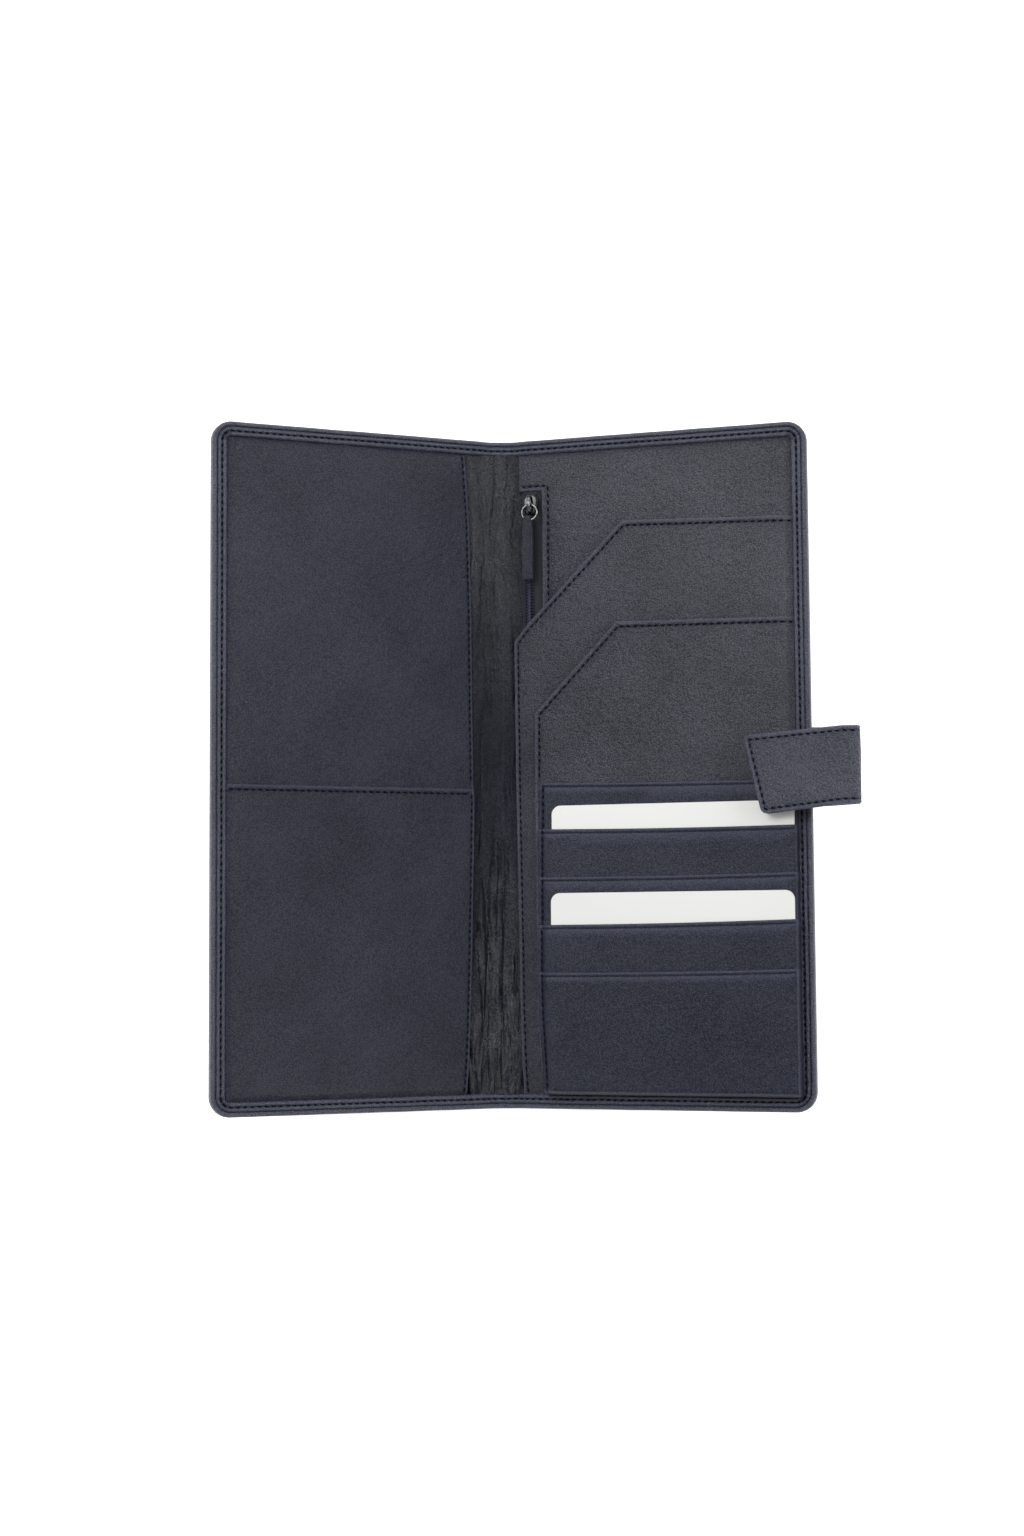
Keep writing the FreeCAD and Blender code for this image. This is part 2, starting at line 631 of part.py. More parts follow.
def build_strap():
    """The bridging piece of strap and the pointed tip that folds over it, with the snap's stud."""
    low, length, rest, _ = strap_geometry()
    bottom, top = "strap_bottom", "strap_bottom + strap_wide"
    thick = 2 * size("strap_leather")
    plate = layered("strap_bridge", [(rectangle("0", f"{length:.3f}", bottom, top), "0 - strap_leather",
                                      "2 * strap_leather")], SPINE)
    doc.recompute()
    flat = plate.Tip
    picked = []
    for number, edge in enumerate(flat.Shape.Edges, start=1):
        ends = [vertex.Point for vertex in edge.Vertexes]
        if abs(ends[0].x - ends[1].x) < 1e-6 and abs(ends[0].z - ends[1].z) < 1e-6:
            picked.append(f"Edge{number}")
    rounded = plate.newObject("PartDesign::Fillet", "strap_bridge_ends")
    rounded.Base = (flat, picked)
    rounded.Radius = thick / 2 - 0.02
    root = Vector(size("strap_pivot_u"), 0, low)
    plate.Placement = BACK * Placement(root, Rotation(Vector(0, -1, 0), math.degrees(rest)))
    end = "strap_pivot_u + strap_reach + 0.8"
    outline = [(end, bottom), (end, top), ("tip_left_top", f"{top} - tip_drop"),
               ("tip_left_bottom", f"{bottom} - tip_skew")]

    def at_point(x, y):
        return x < size("tip_left_bottom") + 1

    rounds = [("tip_corner", at_point)]
    layered("strap_tip_lining", [(outline, "tip_hover", "tip_leather")], BACK, rounds)
    layered("strap_tip_leather", [(outline, "tip_hover + tip_leather", "tip_leather")], BACK, rounds)
    inset = size("pocket_seam")
    path = [("strap_pivot_u + strap_reach - 1", f"{bottom} + {inset}"),
            (f"tip_left_bottom + {1.9 * inset / 1.7:.3f}", f"{bottom} - tip_skew + {inset}"),
            (f"tip_left_top + {1.9 * inset / 1.7:.3f}", f"{top} - tip_drop - {inset}"),
            ("strap_pivot_u + strap_reach - 1", f"{top} - {inset}")]
    swept_thread("strap_tip_stitching", path, "tip_hover + 2 * tip_leather", BACK)
    flange = cylinder("stud_flange", "flange_radius", "flange_high",
                      ("snap_u", "snap_y", "tip_hover - flange_high"))
    stem = cylinder("stud_stem", "stud_radius", "stud_long + 0.1",
                    ("snap_u", "snap_y", "tip_hover - flange_high - stud_long"))
    boolean("Part::Fuse", "snap_stud", flange, stem, BACK)


def check_and_export():
    """Stop if anything failed to build, then write every sub-part."""
    doc.recompute()
    for item in doc.Objects:
        if {"Invalid", "Error"} & set(item.State):
            raise RuntimeError(f"{item.Name} did not build: {item.State}")
    os.makedirs("parts", exist_ok=True)
    for thing in nodes:
        shape = thing.Shape
        if shape.isNull() or not shape.isValid() or shape.Volume <= 0:
            raise RuntimeError(f"{thing.Label} has no valid solid")
        shape.exportStep(f"parts/{thing.Label}.step")
    print(len(nodes), "sub-parts written")


build_spine()
build_front()
build_back()
build_card("card_upper", "upper_card_top", 2)
build_card("card_lower", "lower_card_top", 4)
build_slider()
build_puller()
build_strap()
check_and_export()
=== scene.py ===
import json
import math

import bmesh
import bpy
import numpy as np
from mathutils import Matrix, Vector
from mathutils.geometry import delaunay_2d_cdt
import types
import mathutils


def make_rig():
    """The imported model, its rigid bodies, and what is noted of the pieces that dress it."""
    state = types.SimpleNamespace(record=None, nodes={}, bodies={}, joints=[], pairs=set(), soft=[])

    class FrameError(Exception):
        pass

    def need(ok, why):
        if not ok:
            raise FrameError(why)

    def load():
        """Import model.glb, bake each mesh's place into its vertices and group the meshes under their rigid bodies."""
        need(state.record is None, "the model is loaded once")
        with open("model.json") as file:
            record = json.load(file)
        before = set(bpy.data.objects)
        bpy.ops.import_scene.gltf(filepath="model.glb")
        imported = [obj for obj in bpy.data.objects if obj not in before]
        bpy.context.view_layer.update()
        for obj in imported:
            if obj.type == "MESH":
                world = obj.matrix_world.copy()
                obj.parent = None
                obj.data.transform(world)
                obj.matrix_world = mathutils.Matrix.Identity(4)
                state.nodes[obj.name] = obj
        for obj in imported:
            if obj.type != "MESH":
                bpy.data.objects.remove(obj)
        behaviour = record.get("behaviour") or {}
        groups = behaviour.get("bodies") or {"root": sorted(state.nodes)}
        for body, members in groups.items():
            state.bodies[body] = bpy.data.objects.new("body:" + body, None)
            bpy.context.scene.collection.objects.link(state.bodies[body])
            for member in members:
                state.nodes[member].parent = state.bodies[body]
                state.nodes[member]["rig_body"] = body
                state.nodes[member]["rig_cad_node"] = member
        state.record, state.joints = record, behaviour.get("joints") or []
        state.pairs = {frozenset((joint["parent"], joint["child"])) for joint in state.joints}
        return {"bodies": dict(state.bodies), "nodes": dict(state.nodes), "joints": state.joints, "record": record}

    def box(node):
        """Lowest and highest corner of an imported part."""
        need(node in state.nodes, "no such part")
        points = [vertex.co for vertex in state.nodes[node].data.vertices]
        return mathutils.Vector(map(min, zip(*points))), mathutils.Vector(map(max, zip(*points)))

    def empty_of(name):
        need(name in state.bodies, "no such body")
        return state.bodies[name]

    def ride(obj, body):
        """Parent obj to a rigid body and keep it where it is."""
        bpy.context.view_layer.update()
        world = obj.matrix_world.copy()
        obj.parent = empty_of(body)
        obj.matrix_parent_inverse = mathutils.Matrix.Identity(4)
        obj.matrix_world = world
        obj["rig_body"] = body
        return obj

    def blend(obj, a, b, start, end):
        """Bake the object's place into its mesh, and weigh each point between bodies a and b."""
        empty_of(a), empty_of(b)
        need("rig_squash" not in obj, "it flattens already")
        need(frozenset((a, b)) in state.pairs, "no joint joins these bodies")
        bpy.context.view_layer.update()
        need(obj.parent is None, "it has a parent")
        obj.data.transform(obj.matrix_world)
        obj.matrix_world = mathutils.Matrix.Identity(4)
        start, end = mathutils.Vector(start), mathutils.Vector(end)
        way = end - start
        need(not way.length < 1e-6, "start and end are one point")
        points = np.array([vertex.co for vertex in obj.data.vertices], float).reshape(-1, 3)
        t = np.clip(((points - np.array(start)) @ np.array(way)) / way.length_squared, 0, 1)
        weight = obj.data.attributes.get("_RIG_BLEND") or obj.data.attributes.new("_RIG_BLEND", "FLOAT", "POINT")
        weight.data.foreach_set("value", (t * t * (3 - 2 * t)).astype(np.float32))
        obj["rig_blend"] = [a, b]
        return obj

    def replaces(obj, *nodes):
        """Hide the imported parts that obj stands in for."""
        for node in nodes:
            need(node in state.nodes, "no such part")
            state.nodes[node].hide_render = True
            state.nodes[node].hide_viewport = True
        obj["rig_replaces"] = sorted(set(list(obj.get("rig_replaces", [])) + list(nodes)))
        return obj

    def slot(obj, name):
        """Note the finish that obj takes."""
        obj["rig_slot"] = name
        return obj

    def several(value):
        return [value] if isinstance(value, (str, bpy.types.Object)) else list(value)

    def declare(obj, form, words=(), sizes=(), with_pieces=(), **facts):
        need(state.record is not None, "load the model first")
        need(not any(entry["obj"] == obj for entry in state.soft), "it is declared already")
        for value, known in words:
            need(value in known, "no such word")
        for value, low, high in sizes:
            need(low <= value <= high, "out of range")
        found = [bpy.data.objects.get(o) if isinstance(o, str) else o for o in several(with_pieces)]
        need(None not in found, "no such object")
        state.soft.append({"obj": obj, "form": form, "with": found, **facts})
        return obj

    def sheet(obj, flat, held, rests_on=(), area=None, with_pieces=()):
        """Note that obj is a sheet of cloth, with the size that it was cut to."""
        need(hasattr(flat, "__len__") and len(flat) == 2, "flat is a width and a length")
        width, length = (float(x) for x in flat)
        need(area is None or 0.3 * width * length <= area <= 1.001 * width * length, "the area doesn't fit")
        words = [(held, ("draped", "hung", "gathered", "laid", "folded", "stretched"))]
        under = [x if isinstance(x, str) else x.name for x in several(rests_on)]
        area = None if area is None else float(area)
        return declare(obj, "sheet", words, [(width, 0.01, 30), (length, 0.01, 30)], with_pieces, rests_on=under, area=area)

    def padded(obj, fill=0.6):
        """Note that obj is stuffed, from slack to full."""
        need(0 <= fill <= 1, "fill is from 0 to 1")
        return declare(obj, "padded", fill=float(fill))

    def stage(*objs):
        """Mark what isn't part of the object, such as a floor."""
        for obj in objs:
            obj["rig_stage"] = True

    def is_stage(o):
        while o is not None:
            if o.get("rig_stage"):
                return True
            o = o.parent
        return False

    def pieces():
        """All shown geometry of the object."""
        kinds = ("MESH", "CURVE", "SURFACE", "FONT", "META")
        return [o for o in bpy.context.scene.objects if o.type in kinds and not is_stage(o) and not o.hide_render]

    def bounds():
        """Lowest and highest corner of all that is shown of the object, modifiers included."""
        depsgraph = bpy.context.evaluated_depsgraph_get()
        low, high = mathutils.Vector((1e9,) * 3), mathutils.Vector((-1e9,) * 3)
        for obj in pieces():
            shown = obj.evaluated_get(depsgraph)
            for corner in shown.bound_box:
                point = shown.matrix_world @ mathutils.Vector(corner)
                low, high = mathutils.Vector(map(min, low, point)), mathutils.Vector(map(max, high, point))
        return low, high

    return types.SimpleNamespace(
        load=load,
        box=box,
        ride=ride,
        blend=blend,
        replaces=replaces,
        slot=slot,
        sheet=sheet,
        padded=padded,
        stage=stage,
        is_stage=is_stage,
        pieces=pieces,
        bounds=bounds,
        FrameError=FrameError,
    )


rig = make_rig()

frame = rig.load()
CAD_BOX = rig.bounds()

# ---------------------------------------------------------------- the frame's own measures, in millimetres
JOINTS = {j["name"]: j for j in frame["joints"]}
HINGE_X = JOINTS["back_fold"]["pos_m"][0] * 1000
HINGE_Z = JOINTS["back_fold"]["pos_m"][2] * 1000
PULL_AXIS = JOINTS["puller_flip"]["axis"]
TILT = math.atan2(abs(PULL_AXIS[2]), abs(PULL_AXIS[0]))
COS, SIN = math.cos(TILT), math.sin(TILT)
SIDES = {"front": -1.0, "back": 1.0}


def node_box(name):
    low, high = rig.box(name)
    return np.array(low) * 1000, np.array(high) * 1000


def cover_uyn(point, side):
    """A world point in a cover's own coordinates: u out from the hinge, y up the spine, n through the layers."""
    x, y, z = point[0] * SIDES[side] - HINGE_X, point[1], point[2] - HINGE_Z
    return x * COS + z * SIN, y, z * COS - x * SIN


def node_levels(name, side="back"):
    """Lowest and highest (u, y, n) of a CAD node on a cover."""
    verts = frame["nodes"][name].data.vertices
    pts = np.array([cover_uyn(np.array(v.co) * 1000, side) for v in verts])
    return pts.min(0), pts.max(0)


SKIN = 0.6                       # the cover leather's outer and inner faces lie this far from n = 0
LIP_WIDTH = 5.2                  # the turned edge, on the inside
EDGE_WRAP = 2.4                  # what the turned edge takes to go round the cover's own edge
BORDER_SEAM = 3.42               # the border seam's distance from the edge
CORNER_R, PANEL_R = 7.0, 1.8     # corners of the covers, and of the panels inside the turned edge
BEND = 3.0                       # half the length of the soft bend at a hinge
BLEND_FROM, BLEND_TO = 3.0, 9.0  # where a piece across a hinge goes from the spine's motion to the cover's
GROOVE = 0.42                    # half the width of the dent that a seam presses into leather

HALF = node_box("back_leather")[1][1]
WIDTH = {s: node_levels(s + "_leather", s)[1][0] for s in SIDES}
LIP = HALF - node_levels("back_edge_binding")[1][1] + LIP_WIDTH
LIP_TOP = node_levels("front_edge_binding", "front")[1][2]
INNER = {s: WIDTH[s] - LIP for s in SIDES}
INNER_Y = HALF - LIP


# ---------------------------------------------------------------- placing points
def place(side, u, y, n):
    """Millimetre points of a cover and its half of the spine, bent softly at the hinge, in metres."""
    u, y, n = np.broadcast_arrays(np.asarray(u, float), y, n)
    t = np.clip((u + BEND) / (2 * BEND), 0, 1)
    x = HINGE_X + BEND * (t * t * COS - (1 - t) ** 2) + np.minimum(u + BEND, 0) + np.maximum(u - BEND, 0) * COS
    z = BEND * t * t * SIN + np.maximum(u - BEND, 0) * SIN
    tx, tz = (1 - t) + t * COS, t * SIN
    long = np.hypot(tx, tz)
    tx, tz = tx / long, tz / long
    return np.stack([SIDES[side] * (x - n * tz), y, HINGE_Z + z + n * tx], -1) / 1000


def on_back(u, y, n):
    """A rigid point of the back cover, in metres."""
    return np.array([HINGE_X + u * COS - n * SIN, y, HINGE_Z + u * SIN + n * COS]) / 1000


def smooth(t):
    t = np.clip(t, 0, 1)
    return t * t * (3 - 2 * t)


def peak(x, at, width):
    """1 at one value of x, and less on both sides of it."""
    return np.exp(-((x - at) / width) ** 2)


def noise(points, scale, seed):
    """Smooth value noise from -1 to 1; scale is one length, or one for each axis."""
    table = np.random.default_rng(seed).uniform(-1, 1, (64, 64))
    q = np.asarray(points, float) / scale
    i = np.floor(q).astype(int)
    f = q - i
    f = f * f * (3 - 2 * f)
    a, b = i[..., 0] % 64, i[..., 1] % 64
    c, d = (a + 1) % 64, (b + 1) % 64
    low = table[a, b] * (1 - f[..., 0]) + table[c, b] * f[..., 0]
    high = table[a, d] * (1 - f[..., 0]) + table[c, d] * f[..., 0]
    return low * (1 - f[..., 1]) + high * f[..., 1]


def waver(along, row, scale, seed):
    """Noise along one line; each row has its own."""
    return noise(np.stack([along, along * 0 + row], 1), scale, seed)


def swell(flat, amount, scale, seed, fine=0.05, fine_scale=8.0):
    """The soft unevenness of a panel: broad waves with finer ones on top."""
    return amount * noise(flat, scale, seed) + fine * noise(flat, fine_scale, seed + 1)


# ---------------------------------------------------------------- flat outlines
def outline(corners, step=1.0):
    """A closed line through (u, y, radius) corners, with its corners rounded and points about a step apart."""
    pts = []
    for i, (u, y, r) in enumerate(corners):
        p = np.array([u, y])
        a = np.array(corners[i - 1][:2]) - p
        b = np.array(corners[(i + 1) % len(corners)][:2]) - p
        a, b = a / np.linalg.norm(a), b / np.linalg.norm(b)
        half = math.acos(max(-1, min(1, float(a @ b)))) / 2
        if r <= 0 or half > 1.55:
            pts.append(p)
            continue
        reach = r / math.tan(half)
        centre = p + (a + b) / np.linalg.norm(a + b) * r / math.sin(half)
        s, e = p + a * reach - centre, p + b * reach - centre
        turn = math.atan2(s[0] * e[1] - s[1] * e[0], float(s @ e))
        steps = max(2, int(abs(turn) * r / 0.35))
        for k in range(steps + 1):
            c, q = math.cos(turn * k / steps), math.sin(turn * k / steps)
            pts.append(centre + np.array([s[0] * c - s[1] * q, s[0] * q + s[1] * c]))
    out = []
    for a, b in zip(pts, pts[1:] + pts[:1]):
        k = max(1, int(round(np.linalg.norm(b - a) / step)))
        out += [a + (b - a) * j / k for j in range(k)]
    return np.array(out)


def to_line(points, line, closed=False):
    """Distance from each point to a line."""
    a = np.asarray(line, float)
    b = np.roll(a, -1, 0) if closed else a[1:]
    a = a if closed else a[:-1]
    d = b - a
    size = np.maximum((d * d).sum(1), 1e-12)
    best = np.full(len(points), 1e9)
    batch = 4000
    for s in range(0, len(points), batch):
        q = points[s:s + batch, None, :] - a[None]
        t = np.clip((q * d).sum(2) / size, 0, 1)
        best[s:s + batch] = np.sqrt((((q - t[..., None] * d) ** 2).sum(2)).min(1))
    return best


def within(points, line):
    """Which points lie inside a closed line."""
    x, y = points[:, 0:1], points[:, 1:2]
    a, b = line, np.roll(line, -1, 0)
    crosses = (a[:, 1] > y) != (b[:, 1] > y)
    slope = (b[:, 0] - a[:, 0]) / np.where(b[:, 1] == a[:, 1], 1e-12, b[:, 1] - a[:, 1])
    return (crosses & (x < a[:, 0] + slope * (y - a[:, 1]))).sum(1) % 2 == 1


def offset(line, distance):
    """A closed line moved inwards."""
    ahead = np.roll(line, -1, 0) - np.roll(line, 1, 0)
    ahead /= np.maximum(np.linalg.norm(ahead, axis=1), 1e-9)[:, None]
    area = (line[:, 0] * np.roll(line[:, 1], -1) - np.roll(line[:, 0], -1) * line[:, 1]).sum()
    side = 1.0 if area > 0 else -1.0
    before, after = line - np.roll(line, 1, 0), np.roll(line, -1, 0) - line
    turn = np.abs(np.arctan2(before[:, 0] * after[:, 1] - before[:, 1] * after[:, 0], (before * after).sum(1)))
    reach = distance / np.cos(np.minimum(turn, 2.4) / 2)
    return line + np.stack([-ahead[:, 1], ahead[:, 0]], 1) * (side * reach)[:, None]


def parallel(line, distance):
    """An open line moved sideways, with its corners mitred."""
    ahead = np.diff(line, axis=0)
    ahead /= np.linalg.norm(ahead, axis=1)[:, None]
    normal = np.stack([-ahead[:, 1], ahead[:, 0]], 1) * distance
    out = [line[0] + normal[0]]
    for i in range(1, len(line) - 1):
        mid = normal[i - 1] + normal[i]
        out.append(line[i] + mid * (distance * distance) / (mid @ normal[i]))
    out.append(line[-1] + normal[-1])
    return np.array(out)


def edge_at(table, y):
    """Where a panel's left edge is at a height, from (y, u) points listed downwards."""
    return np.interp(-y, -table[:, 0], table[:, 1])


def left_edge(table, top, push=0.0, foot=-INNER_Y):
    """The line of a panel's left edge, from a height down to its foot."""
    y = np.append(np.arange(top, foot, -4.0), foot)
    return np.stack([edge_at(table, y) + push, y], 1)


def grid_points(low, high, size):
    """An even triangular grid over a box."""
    nx, ny = int((high[0] - low[0]) / size) + 1, int((high[1] - low[1]) / (size * 0.87)) + 1
    return np.array([(low[0] + (i + 0.5 * (j % 2)) * size, low[1] + j * size * 0.87)
                     for j in range(ny) for i in range(nx)])


def flat_mesh(edge, rings, grid, dense=None):
    """Triangles that fill a closed edge: rows of points beside it, and an even grid inside.

    dense is a zone with a finer grid: its grid size and its low and high corners. Returns the points, the
    triangles, and which point each edge point became.
    """
    pts = [edge]
    for d in rings:
        ring = offset(edge, d)
        gap = to_line(ring, edge, True)
        pts.append(ring[(np.abs(gap - d) < 0.02 + 0.06 * d) & within(ring, edge)])
    broad = grid_points(edge.min(0), edge.max(0), grid)
    fills = [(grid, broad)]
    if dense:
        size, low, high = dense
        fills = [(grid, broad[np.any((broad < low) | (broad > high), axis=1)]),
                 (size, grid_points(low, high, size))]
    for size, fill in fills:
        fill = fill[within(fill, edge)]
        pts.append(fill[to_line(fill, edge, True) > rings[-1] + 0.45 * size])
    n = len(edge)
    made = delaunay_2d_cdt([Vector(p) for p in np.vstack(pts)], [], [list(range(n))], 1, 1e-5)
    became = {k: j for j, sources in enumerate(made[3]) for k in sources}
    return np.array([(v.x, v.y) for v in made[0]]), [tuple(f) for f in made[2]], [became[k] for k in range(n)]


# ---------------------------------------------------------------- meshes and pieces
def mend(mesh, fill=False):
    """Turns all faces outwards, after closing any holes if fill is true."""
    bm = bmesh.new()
    bm.from_mesh(mesh)
    if fill:
        bmesh.ops.holes_fill(bm, edges=[e for e in bm.edges if e.is_boundary], sides=0)
    bmesh.ops.recalc_face_normals(bm, faces=bm.faces)
    bm.to_mesh(mesh)
    bm.free()


def make_object(name, verts, faces, flat=None, angle=50, worn=None):
    """A mesh object with smooth shading up to an angle.

    flat is each point's place on its flat panel. The last argument is painted light: above 0 a painted highlight along
    folds and crests, below 0 painted shade in a seam.
    """
    mesh = bpy.data.meshes.new(name)
    mesh.from_pydata([tuple(v) for v in verts], [], faces)
    if flat is not None:
        layer = mesh.attributes.new("flat", "FLOAT_VECTOR", "POINT")
        layer.data.foreach_set("vector", np.asarray(flat, np.float32).ravel())
    # painted light for each point: painted highlights above 0, painted shade below 0
    if worn is not None:
        mesh.attributes.new("worn", "FLOAT", "POINT").data.foreach_set("value", np.asarray(worn, np.float32))
    mend(mesh)
    mesh.polygons.foreach_set("use_smooth", [True] * len(mesh.polygons))
    mesh.set_sharp_from_angle(angle=math.radians(angle))
    obj = bpy.data.objects.new(name, mesh)
    bpy.context.scene.collection.objects.link(obj)
    return obj


def rigid(name, verts, faces, angle=40):
    """A closed rigid piece from (u, y, n) points of the back cover."""
    return make_object(name, [on_back(*v) for v in verts], faces, None, angle)


HINGES = {"front": ("spine", "front_cover"), "back": ("spine", "back_cover")}


def finish_piece(obj, side, material, slot, nodes=(), blended=False, body=None):
    """Gives a piece its material, its slot, the CAD nodes that it stands for, and its body or hinge."""
    obj.data.materials.append(material)
    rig.slot(obj, slot)
    if nodes:
        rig.replaces(obj, *nodes)
    if blended:
        x = SIDES[side] / 1000
        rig.blend(obj, *HINGES[side], start=(x * BLEND_FROM, 0, 0), end=(x * BLEND_TO, 0, 0))
    else:
        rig.ride(obj, body or side + "_cover")
    return obj


def quads(rows, columns, wrap=False, loop=False):
    """Faces between rows of points. wrap joins each row's two ends, and loop joins the last row to the first."""
    faces = []
    for i in range(rows if loop else rows - 1):
        j = (i + 1) % rows
        for k in range(columns if wrap else columns - 1):
            m = (k + 1) % columns
            faces.append((i * columns + k, i * columns + m, j * columns + m, j * columns + k))
    return faces


def caps(rows, columns):
    """The faces that close the first and the last row."""
    return [tuple(range(columns - 1, -1, -1)), tuple((rows - 1) * columns + k for k in range(columns))]


def walls(rim, shift):
    """The faces that join a rim to the same points of a second layer."""
    return [(rim[k - 1], rim[k], shift + rim[k], shift + rim[k - 1]) for k in range(len(rim))]


def slab_faces(rows, columns):
    """The faces of a closed plate, from one grid of points and then a second one under it."""
    size = rows * columns
    upper = quads(rows, columns)
    right, foot = columns - 1, (rows - 1) * columns
    rim = [*range(right), *range(right, size, columns), *range(size - 2, foot - 1, -1)]
    rim += range(foot - columns, 0, -columns)
    return upper + [(size + a, size + d, size + c, size + b) for a, b, c, d in upper] + walls(rim, size)


def slab(point, rows, columns):
    """A closed plate. point takes 1 (upper face) or -1 (lower), a share down and a share across."""
    shares = [(way, j / (rows - 1), i / (columns - 1))
              for way in (1, -1) for j in range(rows) for i in range(columns)]
    return [point(*s) for s in shares], slab_faces(rows, columns)


def tube(points, radius, sides=8, closed=False):
    """A round bar through 3-D points, with one radius or one for each point."""
    points = [np.asarray(p, float) for p in points]
    count = len(points)
    verts, across = [], None
    for i, p in enumerate(points):
        a = points[i - 1] if i or closed else p
        b = points[(i + 1) % count] if i < count - 1 or closed else p
        t = (b - a) / np.linalg.norm(b - a)
        if across is None:
            across = np.cross(t, (0.3, 0.9, 0.2))
        across = across - t * (across @ t)
        across = across / np.linalg.norm(across)
        up = np.cross(t, across)
        r = radius[i] if hasattr(radius, "__len__") else radius
        for k in range(sides):
            q = 2 * math.pi * k / sides
            verts.append(p + across * math.cos(q) * r + up * math.sin(q) * r)
    return verts, quads(count, sides, True, closed) + ([] if closed else caps(count, sides))


def prism(section, low, high, round_by, steps=3):
    """A flat plate from an outline in (u, y), with rounded upper and lower rims."""
    angles = [math.pi / 2 * k / steps for k in range(steps + 1)]
    rows = [(round_by * (1 - math.sin(a)), low + round_by * (1 - math.cos(a))) for a in angles]
    rows += [(round_by * (1 - math.cos(a)), high - round_by * (1 - math.sin(a))) for a in angles]
    verts = [(u, y, n) for inset, n in rows for u, y in offset(section, inset)]
    return verts, quads(len(rows), len(section), True) + caps(len(rows), len(section))


def gather(parts):
    """One mesh from many."""
    verts, faces = [], []
    for v, f in parts:
        n = len(verts)
        verts += list(v)
        faces += [tuple(n + k for k in face) for face in f]
    return verts, faces


# ---------------------------------------------------------------- leather panels
RINGS = (0.06, 0.18, 0.34, 0.55, 0.85, 1.2, 1.55, 1.9, 2.4)
CUTS = {}                        # each panel's flat size


def cut_size(edge):
    """The width, length and area, in metres, of the flat shape that a panel is cut to."""
    wide, long = np.ptp(edge, axis=0)[:2] / 1000
    x, y = edge[:, 0], edge[:, 1]
    area = abs(np.sum(x * np.roll(y, -1) - y * np.roll(x, -1))) / 2e6
    return float(wide), float(long), min(float(area), wide * long)


def leather(name, side, corners, top, bottom, rings=RINGS, grid=1.8, dense=None, step=1.0, folds=(), seams=()):
    """A leather panel: top and bottom are functions from flat points to their levels.

    Its rim is closed round the edge, with a painted highlight along its folds and painted shade along its seams.
    """
    edge = outline(corners, step)
    flat, tris, rim = flat_mesh(edge, rings, grid, dense)
    CUTS[name] = cut_size(edge)
    high = top(flat)
    low = np.minimum(bottom(flat), high - 0.05)
    n = len(flat)
    verts = np.vstack([place(side, flat[:, 0], flat[:, 1], level) for level in (high, low)])
    faces = tris + [tuple(n + i for i in reversed(t)) for t in tris] + walls(rim, n)
    x = SIDES[side] * (HINGE_X + flat[:, 0])
    attribute = np.vstack([np.stack([x, flat[:, 1], level], 1) / 1000 for level in (high, low)])
    # painted light: a painted highlight beside each fold, painted shade down each seam
    worn = np.zeros(2 * n)
    for line in folds:
        worn[:n] = np.maximum(worn[:n], peak(to_line(flat, line), 0.45, 0.5))
    for line in seams:
        worn[:n] -= peak(to_line(flat, line), 0, GROOVE)
    return make_object(name, verts, faces, attribute, worn=worn)


def pocket(name, side, corners, top, bottom, material, cad_node, blended=False, grid=2.4, **shape):
    """A leather panel of a pocket, in place of its CAD node."""
    sheet = leather(name, side, corners, top, bottom, grid=grid, **shape)
    finish_piece(sheet, side, material, "pocket_leather", (cad_node,), blended)


def rounded_drop(distance, radius):
    """How far a folded edge falls below its panel at a distance from the fold."""
    t = 1 - np.clip(distance / radius, 0, 1)
    return radius * (1 - np.sqrt(np.maximum(1 - t * t, 0)))


def hem(level, distance, roll, seam, depth=0.24, width=GROOVE):
    """A panel's level near its folded edge: rolled over at the fold, and pressed in by a seam beside it."""
    return level - rounded_drop(distance, roll) - depth * peak(distance, seam, width)


def tucked(flat, side, low, level):
    """A panel's level, drawn down where it goes under the turned edge."""
    room = np.minimum(INNER[side] - flat[:, 0], INNER_Y - np.abs(flat[:, 1]))
    return low + (level - low) * smooth(0.12 + room / 2.6)


# ---------------------------------------------------------------- materials
def node(tree, kind, inputs=None, **settings):
    made = tree.nodes.new(kind)
    for key, value in settings.items():
        setattr(made, key, value)
    for key, value in (inputs or {}).items():
        if isinstance(value, bpy.types.NodeSocket):
            tree.links.new(value, made.inputs[key])
        else:
            made.inputs[key].default_value = value
    return made


def maths(tree, operation, *values):
    """A maths node on one to three values."""
    return node(tree, "ShaderNodeMath", dict(enumerate(values)), operation=operation).outputs[0]


def times(tree, a, b):
    return maths(tree, "MULTIPLY", a, b)


def plus(tree, a, b):
    return maths(tree, "ADD", a, b)


def clouds(tree, where, scale, detail, **inputs):
    """Noise from 0 to 1."""
    given = {"Vector": where, "Scale": scale, "Detail": detail, **inputs}
    return node(tree, "ShaderNodeTexNoise", given).outputs["Fac"]


def mix_colour(tree, share, a, b):
    return node(tree, "ShaderNodeMix", {0: share, 6: a, 7: b}, data_type="RGBA").outputs[2]


def ramp(tree, value, stops):
    """A value read through (position, grey) stops."""
    made = node(tree, "ShaderNodeValToRGB", {0: value})
    elements = made.color_ramp.elements
    while len(elements) < len(stops):
        elements.new(0.5)
    for e, (at, grey) in zip(elements, stops):
        e.position, e.color = at, (grey, grey, grey, 1)
    return made.outputs[0]


def rescaled(tree, value, low, high, to_low, to_high=1.0):
    """A value moved from one range to another."""
    given = {"Value": value, "From Min": low, "From Max": high, "To Min": to_low, "To Max": to_high}
    return node(tree, "ShaderNodeMapRange", given).outputs[0]


def tint(colour, factor, add=0.0):
    return tuple(min(1, c * factor + add) for c in colour) + (1,)


